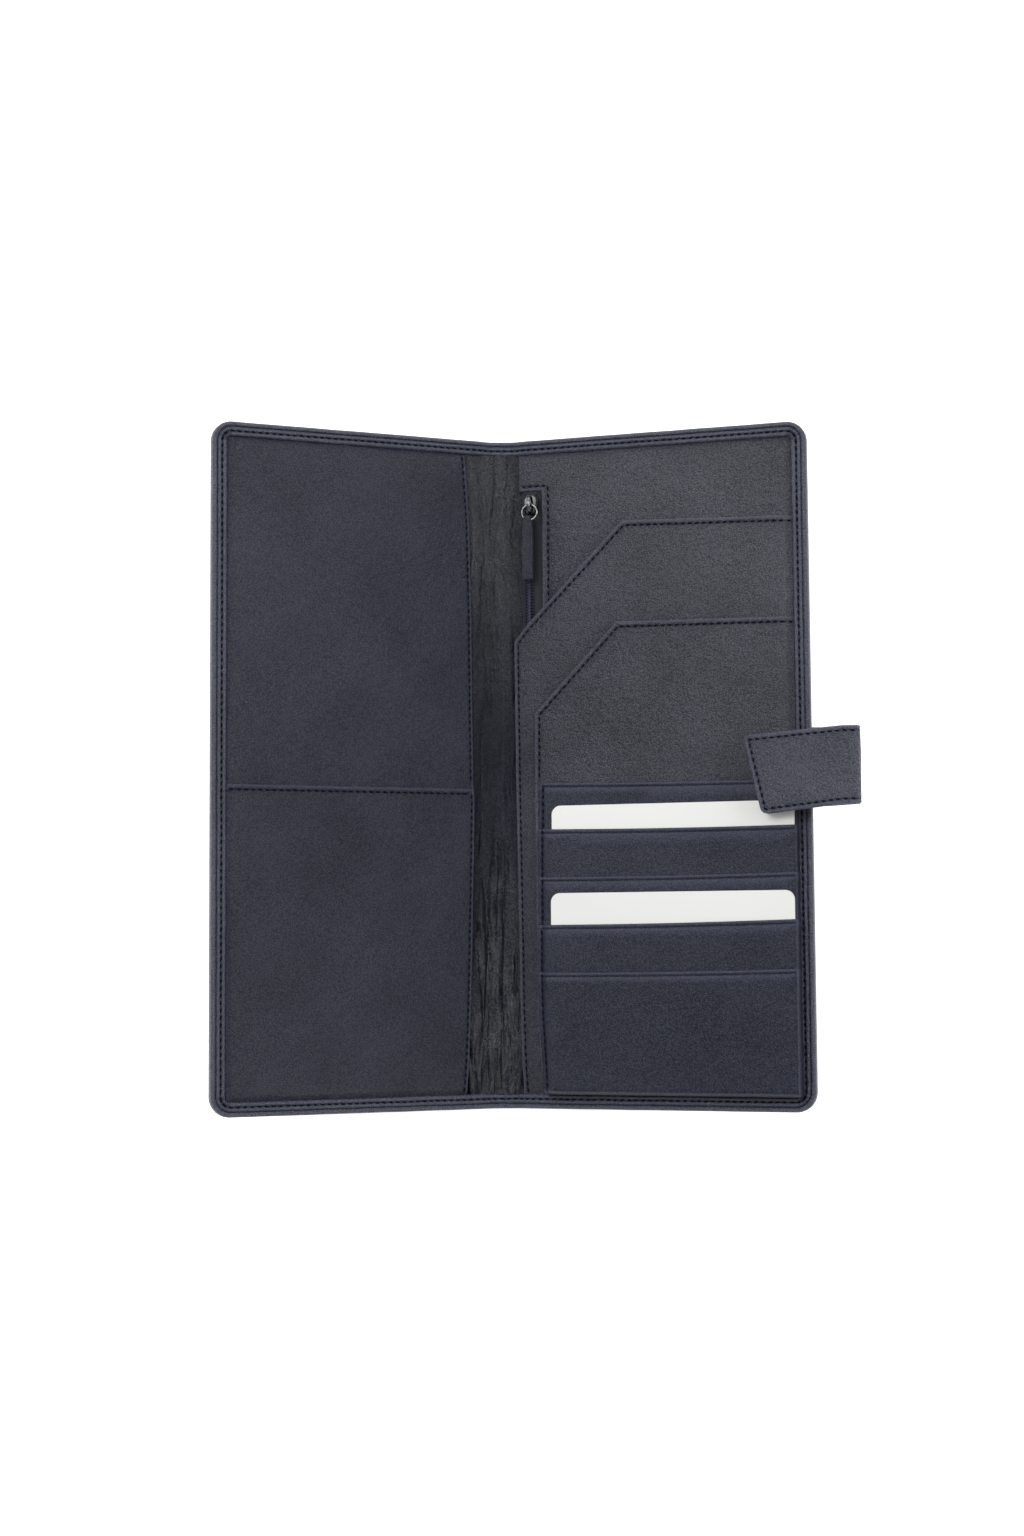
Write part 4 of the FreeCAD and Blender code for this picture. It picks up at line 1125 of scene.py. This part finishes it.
ticket_line, note_line = pocket_line(TICKET_LEFT, TICKET_MOUTH), pocket_line(NOTE_LEFT, NOTE_MOUTH)
ticket_seam, note_seam = parallel(ticket_line, -POCKET_SEAM), parallel(note_line, -POCKET_SEAM)
pocket("ticket_pocket_panel", "back", pocket_corners(TICKET_LEFT, TICKET_MOUTH), ticket_top, ticket_under,
       BRIGHT, "ticket_pocket", True, folds=[ticket_line], seams=[ticket_seam])
pocket("note_pocket_panel", "back", pocket_corners(NOTE_LEFT, NOTE_MOUTH), note_top, note_under,
       BRIGHT, "note_pocket", grid=2.6, folds=[note_line], seams=[note_seam])
sew("ticket_pocket_stitches", "back", [(ticket_seam, ticket_top, 1)], ("ticket_pocket_stitching",), True)
in_sight = note_seam[note_seam[:, 1] > -3.0]        # the card slots cover the rest
sew("note_pocket_stitches", "back", [(in_sight, note_top, 1)], ("note_pocket_stitching",))


# ---------------------------------------------------------------- card slots
SLOT_MOUTHS = [(-4.4, -5.4), (-20.8, -21.1), (-37.5, -37.1), (-54.2, -53.0), (-70.7, -69.7)]   # left and right ends
SLOT_LEVELS = [node_levels("card_slot_%d" % k)[1][2] for k in range(1, 6)]
SLOT_LOWERED = (0.17, 0, 0.17, 0, 0)                # room for a card that slides over the slot
SLOT_SQUEEZED = (0.0, 0.55, 0.6, 1.1, 1.15)         # how far the left seam presses each slot down
SLOT_LEFT = np.array([(0, 7.5), (-40, 7.3), (-70, 7.3), (-85, 7.6), (-100, 8.6), (-112.8, 9.3)])
SLOT_START, SLOT_END, SLOT_STEP = 8.0, 99.0, 0.07   # each slot ends a little further right than the one under it
SLOT_SEAM = 1.55                                    # from the slots' left edge
SLOT_RINGS = (0.06, 0.18, 0.34, 0.6, 0.85, 1.1, 1.3, 1.5, 1.7, 1.95, 2.4)


def slot_mouth(k, u):
    """The height of a slot's mouth, which sags a little."""
    a, b = SLOT_MOUTHS[k]
    share = (u - SLOT_START) / (SLOT_END - SLOT_START)
    return a + (b - a) * share - 0.35 * np.sin(np.pi * np.clip(share, 0, 1))


def slot_wall(k, u):
    """0 at a slot's right-hand edge, 1 from a millimetre inside it."""
    return np.clip(SLOT_END + SLOT_STEP * k - u, 0, 1)


def slot_top(k):
    def level(flat):
        u, y = flat[:, 0], flat[:, 1]
        full = SLOT_LEVELS[k] - SLOT_LOWERED[k] + 0.05 * noise(flat, 24.0, 71 + k)
        low = 3.0 + 0.14 * (k + 1)
        across = full - SLOT_SQUEEZED[k] * (1 - smooth((u - 7.4) / 5.0))
        roll = np.clip((y + INNER_Y + 0.2) / 2.2, 0, 1)
        n = low + (across - low) * np.sqrt(1 - (1 - roll) ** 2)
        foot = LIP_TOP + 0.2 + 0.06 * k
        wall = np.sqrt(1 - (1 - slot_wall(k, u)) ** 2)
        n = np.where(n < foot, n, foot + (n - foot) * wall)
        mouth = np.maximum(slot_mouth(k, u) - y, 0)
        left = np.maximum(u - edge_at(SLOT_LEFT, y), 0)
        n = hem(n + 0.10 * peak(mouth, 0.7, 0.5), mouth, 0.36, 1.5, 0.20, 0.24)
        return hem(n, left, 0.30, SLOT_SEAM, 0.26)
    return level


def slot_under(k):
    top = slot_top(k)

    def level(flat):
        mouth = np.maximum(slot_mouth(k, flat[:, 0]) - flat[:, 1], 0)
        return top(flat) + rounded_drop(mouth, 0.36) - 0.05 - 0.33 * slot_wall(k, flat[:, 0])
    return level


for k in range(5):
    end = SLOT_END + SLOT_STEP * k
    across = np.linspace(SLOT_START, end, 14)
    mouth = np.stack([across, slot_mouth(k, across)], 1)
    start = mouth[0, 1]
    down = np.append(np.arange(start - 1.0, -INNER_Y, -5.0), -INNER_Y)
    corners = [(u, y, 0) for u, y in mouth[::-1]] + [(edge_at(SLOT_LEFT, start) + 0.15, start - 0.15, 0)]
    corners += [(edge_at(SLOT_LEFT, y), y, 0) for y in down] + [(end, -INNER_Y, 0.8)]
    pocket("card_slot_%d_panel" % (k + 1), "back", corners, slot_top(k), slot_under(k), SMOOTH,
           "card_slot_%d" % (k + 1), rings=SLOT_RINGS, grid=2.6, folds=[mouth, mouth - [0, 1.75]],
           seams=[mouth - [0, 1.35], np.stack([edge_at(SLOT_LEFT, down) + SLOT_SEAM, down], 1)])


def slots_level(flat):
    """The level of whichever slot is on top."""
    n = slot_top(0)(flat)
    for k in range(1, 5):
        n = np.where(flat[:, 1] < slot_mouth(k, flat[:, 0]) - 0.3, slot_top(k)(flat), n)
    return n


y = np.arange(-5.6, -INNER_Y + 0.8, -3.0)
sew("card_slot_stitches", "back", [(np.stack([edge_at(SLOT_LEFT, y) + SLOT_SEAM, y], 1), slots_level, 1)],
    ("card_slot_stitching",))


# ---------------------------------------------------------------- hidden layers
def pad(name, side, cad_node, low, high, radius, body=None):
    """A felt pad that fills a CAD node's box, from its low to its high (u, y, n)."""
    corners = [(low[0], high[1], 0), (high[0], high[1], radius), (high[0], low[1], radius), (low[0], low[1], 0)]
    top = lambda flat: high[2] - 0.02 + 0.015 * noise(flat, 7.0, 81)
    sheet = leather(name, side, corners, top, lambda flat: flat[:, 0] * 0 + low[2], (0.2, 0.5), 6.0, step=3.0)
    finish_piece(sheet, side, FOAM, "padding", (cad_node,), body=body)
    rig.padded(sheet, fill=0.9)


for side in SIDES:
    low, high = node_levels(side + "_padding", side)
    pad(side + "_pad", side, side + "_padding", low + [0, 0, 0.01], high - [0, 0, 0.03], 4)
low, high = node_box("spine_interlining")
for side in SIDES:
    pad("spine_pad_" + side, side, "spine_interlining", (-HINGE_X, low[1], low[2] - HINGE_Z + 0.01),
        (high[0] - HINGE_X, high[1], high[2] - HINGE_Z - 0.02), 0, "spine")
for name, material in REPAINTED.items():
    for s in frame["nodes"][name].material_slots:
        s.link = "OBJECT"
        s.material = material


# ---------------------------------------------------------------- the zip
tape_low, tape_high = node_levels("zip_tape")
teeth_low, teeth_high = node_levels("zip_teeth")
TAPE_LEFT, TAPE_RIGHT = 1.2, 11.4
TOOTH_PITCH = 1.05
MID = (teeth_low[0] + teeth_high[0]) / 2 - 1.0
TEETH_N = teeth_low[2] + 0.32
# one tooth as (across, along, up) from the zip's middle, with the wire's radius
TOOTH = [(-0.55, 0, 0.10, 0.27), (-0.5, 0.04, 0.34, 0.3), (0.3, -0.12, 0.46, 0.23), (1.2, -0.34, 0.36, 0.22),
         (1.6, -0.44, 0.06, 0.21), (1.35, -0.30, -0.22, 0.2), (0.2, -0.02, -0.24, 0.2)]


def tape_point(way, down, across):
    u = TAPE_LEFT + (TAPE_RIGHT - TAPE_LEFT) * across
    y = tape_low[1] + (tape_high[1] - tape_low[1]) * down
    if way < 0:
        return u, y, tape_low[2]
    rib = 0.05 * math.cos(2 * math.pi * u / 0.62)
    cord = 0.10 * peak(abs(u - 3.9), 1.95, 0.3)
    return u, y, tape_high[2] - 0.12 + rib + cord - 0.22 * smooth((u - 7.4) / 1.2)


tape = rigid("zip_tape_cloth", *slab(tape_point, 151, 35))
finish_piece(tape, "back", TAPE, "zip_tape", ("zip_tape",))
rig.sheet(tape, flat=((TAPE_RIGHT - TAPE_LEFT) / 1000, (tape_high[1] - tape_low[1]) / 1000), held="stretched",
         rests_on=["back_lining_sheet"])

teeth, loops = [], []
for side in (-1, 1):
    stagger = 0.5 * TOOTH_PITCH if side > 0 else 0
    for y in np.arange(teeth_low[1] + 0.6 + stagger, teeth_high[1] - 0.6, TOOTH_PITCH):
        points = [(MID + side * across, y + along, TEETH_N + up) for across, along, up, _ in TOOTH]
        teeth.append(tube(points, [point[3] for point in TOOTH], 7))
    at = MID + side
    for y in np.arange(teeth_low[1] + 0.5, teeth_high[1] - 1.2, TOOTH_PITCH):
        points = [(at, y, TEETH_N + 0.36), (at - 0.04, y + 0.35, TEETH_N + 0.66), (at, y + 0.8, TEETH_N + 0.38)]
        loops.append(tube(points, [0.08, 0.12, 0.08], 5))
finish_piece(rigid("zip_coil_teeth", *gather(teeth), 70), "back", COIL, "zip_coil", ("zip_teeth",))
finish_piece(rigid("zip_coil_thread", *gather(loops), 70), "back", THREAD, "thread")

slider_low, slider_high = node_levels("slider_body")
SLIDER_U, SLIDER_Y = (slider_low[:2] + slider_high[:2]) / 2
FLOOR_N, ROOF_N = slider_low[2], slider_high[2]


def slider_outline(corners, step=0.5):
    """An outline from (across, along, radius) corners about the slider's middle."""
    return outline([(SLIDER_U + x, SLIDER_Y + y, r) for x, y, r in corners], step)


top_plate = slider_outline([(-2.85, 2.3, 1.8), (-1.2, 3.7, 1.0), (1.2, 3.7, 1.0), (2.85, 2.3, 1.8),
                            (2.1, -2.6, 0.8), (1.3, -3.45, 0.7), (-1.3, -3.45, 0.7), (-2.1, -2.6, 0.8)])
wedge = slider_outline([(-0.8, 3.2, 0.3), (0.8, 3.2, 0.3), (0.4, 0.6, 0.2), (-0.4, 0.6, 0.2)])
parts = [prism(top_plate, ROOF_N - 0.72, ROOF_N - 0.02, 0.26), prism(wedge, FLOOR_N + 0.1, ROOF_N - 0.5, 0.1)]
for side in (-1, 1):
    flange = slider_outline([(side * 2.72, 2.2, 0.3), (side * 2.1, -3.0, 0.3), (side * 1.75, -3.0, 0.1),
                             (side * 2.3, 2.2, 0.1)], 0.6)
    parts.append(prism(flange, FLOOR_N + 0.05, ROOF_N - 0.4, 0.12))
parts.append(tube([(u, y, ROOF_N - 0.04) for u, y in offset(top_plate, 0.42)], 0.16, 7, True))
finish_piece(rigid("slider_plate", *gather(parts), 35), "back", GUNMETAL, "dark_metal", ("slider_body",),
             body="zip_slider")

bail_low, bail_high = node_levels("slider_bail")
BAIL_Y, BAIL_REACH, BAIL_RISE = (bail_low[1] + bail_high[1]) / 2, 2.85, bail_high[2] - ROOF_N - 0.1
parts = []
for shift in (-0.32, 0.0, 0.32):
    bow = [(SLIDER_U + shift, BAIL_Y + BAIL_REACH * math.cos(a), ROOF_N - 0.15 + BAIL_RISE * math.sin(a) ** 0.75
            - abs(shift) * 0.25) for a in np.linspace(0, math.pi, 19)]
    parts.append(tube(bow, 0.3 if shift else 0.34, 9))
finish_piece(rigid("slider_bail_loop", *gather(parts), 60), "back", NICKEL, "dark_metal", ("slider_bail",),
             body="zip_slider")

ring_low, ring_high = node_levels("puller_ring")
RING_WIRE, RING_STEPS = 0.42, 48
u, y, n = (ring_low + ring_high) / 2 + [0, -0.1, 0]
reach = (ring_high[0] - ring_low[0]) / 2 - RING_WIRE
turns = [2 * math.pi * k / RING_STEPS for k in range(RING_STEPS)]
hoop = tube([(u + reach * math.sin(a), y + reach * math.cos(a), n) for a in turns], RING_WIRE, 12, True)
finish_piece(rigid("puller_jump_ring", *hoop, 60), "back", NICKEL, "dark_metal", ("puller_ring",),
             body="zip_puller")

tab_low, tab_high = node_levels("puller_tab")
TAB_U, _, TAB_N = (tab_low + tab_high) / 2
TAB_TOP, TAB_FOOT, TAB_HALF = tab_high[1] - 0.1, tab_low[1], (tab_high[2] - tab_low[2]) / 2


def tab_point(way, down, across):
    """The leather puller: one strip folded through the ring, narrow and thin at the fold."""
    y = TAB_TOP + (TAB_FOOT - TAB_TOP) * down
    fall = TAB_TOP - y
    wide = 1.35 + 0.70 * smooth(fall / 6.0)
    thick = TAB_HALF * (0.55 + 0.45 * math.sqrt(max(0.0, 1 - (1 - min(1, fall / 1.2)) ** 2)))
    s = 2 * across - 1
    edge = (1 - abs(s)) * wide
    drop = rounded_drop(edge, 0.28) + rounded_drop(y - TAB_FOOT, 0.22)
    seam = 0.13 * peak(edge, 0.62, 0.25) if fall > 4.5 else 0
    return TAB_U + s * wide, y, TAB_N + way * (thick - drop - seam) + 0.05 * math.sin(y * 0.9) * (1 - s * s)


tab = rigid("puller_leather_tab", *slab(tab_point, 61, 19), 60)
finish_piece(tab, "back", TAB_LEATHER, "outer_leather", ("puller_tab",), body="zip_puller")


# ---------------------------------------------------------------- the snap strap
root_low, root_high = node_levels("strap_root")
STRAP_LOW, STRAP_HIGH = root_low[1], root_high[1]
ROOT_N = (root_low[2] + root_high[2]) / 2
TIP_N = (node_levels("strap_tip_lining")[0][2] + node_levels("strap_tip_leather")[1][2]) / 2
PIVOT_A, PIVOT_B = (cover_uyn(np.array(JOINTS[j]["pos_m"]) * 1000, "back") for j in ("strap_lift", "strap_fold"))
RISE_U, BEND_U, BEND_N, RETURN_U = 103.5, 117.2, 5.4, 116.0   # where it leaves the cover, turns and comes back
ROOT_STEPS, RISE_STEPS, TURN_STEPS, TIP_STEPS = 22, 22, 26, 44


def bezier(points, count):
    t = np.linspace(0, 1, count)[:, None]
    a, b, c, d = (np.array(p, float) for p in points)
    return a * (1 - t) ** 3 + 3 * b * t * (1 - t) ** 2 + 3 * c * t * t * (1 - t) + d * t ** 3


def level_run(start, end, n, count):
    return np.stack([np.linspace(start, end, count), np.full(count, n)], 1)


rise = bezier([(RISE_U, ROOT_N), (109.0, ROOT_N), (113.0, 2.6), (BEND_U, BEND_N)], RISE_STEPS)
turn = bezier([(BEND_U, BEND_N), (121.6, 8.4), (122.3, TIP_N), (RETURN_U, TIP_N)], TURN_STEPS)
CENTRE = np.vstack([level_run(root_low[0], RISE_U, ROOT_N, ROOT_STEPS), rise[1:], turn[1:],
                    level_run(RETURN_U, 80.0, TIP_N, TIP_STEPS)[1:]])
ALONG = np.concatenate([[0], np.cumsum(np.linalg.norm(np.diff(CENTRE, axis=0), axis=1))])
SPLIT = ALONG[ROOT_STEPS + 14]                                # where the strap's two pieces meet
TIP_AT = ALONG[ROOT_STEPS + RISE_STEPS - 1 + TURN_STEPS - 1]  # where the tip's straight run starts
TIP_NEAR, TIP_FAR = 88.6, 82.4                                # its slanted end's u at its lower and upper edge


def strap_line(s):
    """The strap's middle, as (u, n), and its outward direction, at distances along it."""
    middle = lambda q: np.stack([np.interp(q, ALONG, CENTRE[:, k]) for k in (0, 1)], 1)
    ahead = middle(s + 0.4) - middle(s - 0.4)
    ahead /= np.linalg.norm(ahead, axis=1)[:, None]
    return middle(s), np.stack([ahead[:, 1], -ahead[:, 0]], 1)


def strap_edges(s):
    """Lower and upper edges of the strap along its length: it widens a little and leans down towards its tip."""
    run = np.clip((s - TIP_AT) / 36.0, 0, 1.2)
    back = np.clip((TIP_AT - 8.0 - s) / 22.0, 0, 1)
    return STRAP_LOW - 3.9 * run, STRAP_HIGH - 2.5 * run + 0.9 * back


def strap_end(share):
    """How far along the strap its slanted end is, across its width from 0 to 1, with rounded corners."""
    side = np.minimum(share, 1 - share) * (STRAP_HIGH - STRAP_LOW)
    return TIP_AT + (RETURN_U - TIP_NEAR) + (TIP_NEAR - TIP_FAR) * share - rounded_drop(side, 2.2)


def strap_half(name, s0, s1, is_tip):
    """A length of the strap, from s0 to s1 along its middle, as a closed band with rounded edges."""
    count, wide = max(24, int((s1 - s0) / 0.75)), 36
    share = (1 - np.cos(np.linspace(0, math.pi, wide + 1))) / 2 * 0.35 + np.linspace(0, 1, wide + 1) * 0.65
    last = strap_end(share) if is_tip else np.full(wide + 1, s1)
    down = np.linspace(0, 1, count + 1)
    if is_tip:
        down = 1 - (1 - down) ** 1.25
    verts, attribute, painted_light_parts = [], [], []
    for way in (1, -1):
        for t in down:
            s = s0 + (last - s0) * t
            low, high = strap_edges(s)
            y = low + (high - low) * share
            c, out = strap_line(s)
            gap = np.minimum(share, 1 - share) * (high - low)
            gap = np.minimum(gap, last - s if is_tip else s)
            groove = peak(gap, POCKET_SEAM, 0.4)
            # painted highlight where the strap's edge rounds over, and painted shade in the seam's groove
            painted_light_parts.append(0.8 * peak(gap, 0.75, 0.4) - 1.1 * groove)
            thick = 0.86 + 0.04 * noise(np.stack([s, y], 1), 9.0, 91)
            thick = thick - rounded_drop(gap, 0.5) - (0.16 * groove + 0.09 * peak(gap, 1.0, 0.16))
            bow = 0.10 * noise(np.stack([s, y], 1), 16.0, 92) * smooth((TIP_N - 1 - c[:, 1]) / 3)
            p = c + out * (way * thick + bow)[:, None]
            verts.append(place("back", p[:, 0], y, p[:, 1]))
            attribute.append(np.stack([s, y, s * 0 + way], 1) / 1000)
    faces = slab_faces(count + 1, wide + 1)
    return make_object(name, np.vstack(verts), faces, np.vstack(attribute), 60, np.concatenate(painted_light_parts))


def at(u, n):
    return tuple(on_back(u, 0, n))


def finish_strap(obj, material, slot, nodes, is_tip):
    """Gives a piece of the strap its material and slot, and lets it bend at its pivot."""
    obj.data.materials.append(material)
    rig.slot(obj, slot)
    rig.replaces(obj, *nodes)
    if is_tip:
        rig.blend(obj, "strap_bridge", "strap_tip", start=at(PIVOT_B[0] - 1.5, PIVOT_B[2] - 2.2),
                 end=at(PIVOT_B[0] - 2.5, TIP_N + 0.2))
    else:
        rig.blend(obj, "back_cover", "strap_bridge", start=at(PIVOT_A[0] - 3, ROOT_N),
                 end=at(PIVOT_A[0] + 5, ROOT_N + 2))


finish_strap(strap_half("strap_lower", 0.0, SPLIT, False), OUTER, "outer_leather",
             ("strap_root", "strap_bridge"), False)
finish_strap(strap_half("strap_upper", SPLIT, strap_end(0.5), True), OUTER, "outer_leather",
             ("strap_bridge", "strap_tip_leather", "strap_tip_lining"), True)


def strap_seam(edge, start, end, count):
    """The seam inside the strap's lower (0) or upper (1) edge, between two distances along it."""
    s = np.linspace(start, end, count)
    return np.stack([s, strap_edges(s)[edge] + (POCKET_SEAM, -POCKET_SEAM)[edge]], 1)


def sew_strap(name, lines, nodes, is_tip):
    """Stitches on both faces of a piece of the strap, which bend with it."""
    parts = []
    for line in lines:
        for way in (1, -1):
            def spot(flat, level):
                """flat is (distance along the strap, y), and level is the height above its middle."""
                c, out = strap_line(flat[:, 0])
                p = c + out * (way * level)[:, None]
                return place("back", p[:, 0], flat[:, 1], p[:, 1])
            parts += seam_stitches(line, lambda flat: flat[:, 0] * 0 + 0.70, 1, spot)
    finish_strap(stitch_object(name, parts), THREAD, "thread", nodes, is_tip)


across = np.array([(POCKET_SEAM, STRAP_LOW + POCKET_SEAM), (POCKET_SEAM, STRAP_HIGH - POCKET_SEAM)])
sew_strap("strap_lower_stitches", [strap_seam(edge, 2.2, SPLIT - 0.6, 40) for edge in (0, 1)] + [across],
          ("strap_root_stitching",), False)
round_tip = [strap_seam(0, SPLIT + 0.6, strap_end(0.07) - POCKET_SEAM, 30),
             strap_seam(1, strap_end(0.93) - POCKET_SEAM, SPLIT + 0.6, 30)]
sew_strap("strap_upper_stitches", [np.vstack(round_tip)], ("strap_tip_stitching",), True)


# ---------------------------------------------------------------- the leather sheets, as they were cut
LIES_ON = {
    "front_outer_leather": "front_pad", "back_outer_leather": "back_pad", "front_lining_sheet": "front_pad",
    "back_lining_sheet": "back_pad", "boarding_sleeve_panel": "front_lining_sheet",
    "passport_pocket_panel": "boarding_sleeve_panel", "zip_panel_sheet": "back_lining_sheet",
    "ticket_pocket_panel": "zip_panel_sheet", "note_pocket_panel": "ticket_pocket_panel",
    "card_slot_1_panel": "note_pocket_panel",
}
LIES_ON |= {"card_slot_%d_panel" % k: "card_slot_%d_panel" % (k - 1) for k in range(2, 6)}
for name, under in LIES_ON.items():
    wide, long, area = CUTS[name]
    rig.sheet(bpy.data.objects[name], flat=(wide, long), held="folded" if "outer" in name else "stretched",
             rests_on=[under], area=area)


# ---------------------------------------------------------------- floor, light and camera
FLOOR_HALF, FLOOR_GAP = 3, 0.0002                             # half its width, and its distance below the wallet
LENS, SENSOR = 54.46, 36.0                                    # in millimetres
EYE = (-0.0298, -0.0618, 0.8200)                              # the camera's place, in metres
EYE_TURNS = ((4.412, "X"), (-2.298, "Y"), (-0.21, "Z"))       # its turns from looking straight down, in degrees

paint, tree, shader, where = new_material("studio_floor")
speck = clouds(tree, where, 3.0, 2.0)
white = mix_colour(tree, speck, (0.93, 0.93, 0.93, 1), (0.95, 0.95, 0.95, 1))
tree.links.new(white, shader.inputs["Base Color"])
shader.inputs["Roughness"].default_value = 0.9
shader.inputs["Emission Color"].default_value = (1, 1, 1, 1)
shader.inputs["Emission Strength"].default_value = 0.75
mesh = bpy.data.meshes.new("floor")
mesh.from_pydata([(-FLOOR_HALF, -FLOOR_HALF, 0), (FLOOR_HALF, -FLOOR_HALF, 0), (FLOOR_HALF, FLOOR_HALF, 0),
                  (-FLOOR_HALF, FLOOR_HALF, 0)], [], [(0, 1, 2, 3)])
mesh.materials.append(paint)
floor = bpy.data.objects.new("floor", mesh)
floor.location.z = -FLOOR_GAP
bpy.context.scene.collection.objects.link(floor)
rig.stage(floor)

world = bpy.data.worlds.new("studio")
bpy.context.scene.world = world
world.use_nodes = True
tree = world.node_tree
up = node(tree, "ShaderNodeSeparateXYZ", {0: node(tree, "ShaderNodeTexCoord").outputs["Generated"]}).outputs["Z"]
sky = ramp(tree, up, [(0.0, 1.0), (0.45, 0.75), (0.80, 0.22), (1.0, 0.10)])
tree.links.new(sky, tree.nodes["Background"].inputs[0])
tree.nodes["Background"].inputs[1].default_value = 1.0


def softbox(name, place_at, size, power):
    """A rectangular area light that points at the origin."""
    light = bpy.data.lights.new(name, "AREA")
    light.shape, light.size, light.size_y, light.energy = "RECTANGLE", size[0], size[1], power
    obj = bpy.data.objects.new(name, light)
    obj.location = place_at
    obj.rotation_euler = (-Vector(place_at)).to_track_quat("-Z", "Y").to_euler()
    bpy.context.scene.collection.objects.link(obj)


softbox("key_light", (-0.95, 0.62, 1.15), (0.8, 0.8), 16.0)
softbox("fill_light", (1.1, 0.3, 0.9), (0.7, 0.7), 8.0)
softbox("top_light", (0.0, 1.5, 0.8), (1.4, 0.5), 7.0)

camera = bpy.data.cameras.new("camera")
camera.lens, camera.sensor_width, camera.sensor_fit = LENS, SENSOR, "AUTO"
camera.clip_start, camera.clip_end = 0.05, 20
eye = bpy.data.objects.new("camera", camera)
turn = Matrix.Identity(3)
for degrees, axis in EYE_TURNS:
    turn = turn @ Matrix.Rotation(math.radians(degrees), 3, axis)
eye.matrix_world = Matrix.Translation(EYE) @ turn.to_4x4()
bpy.context.scene.collection.objects.link(eye)
bpy.context.scene.camera = eye
bpy.context.scene.view_settings.view_transform = "Standard"

size = {"cad": [list(p) for p in CAD_BOX], "visual": [list(p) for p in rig.bounds()]}
json.dump(size, open("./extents.json", "w"))
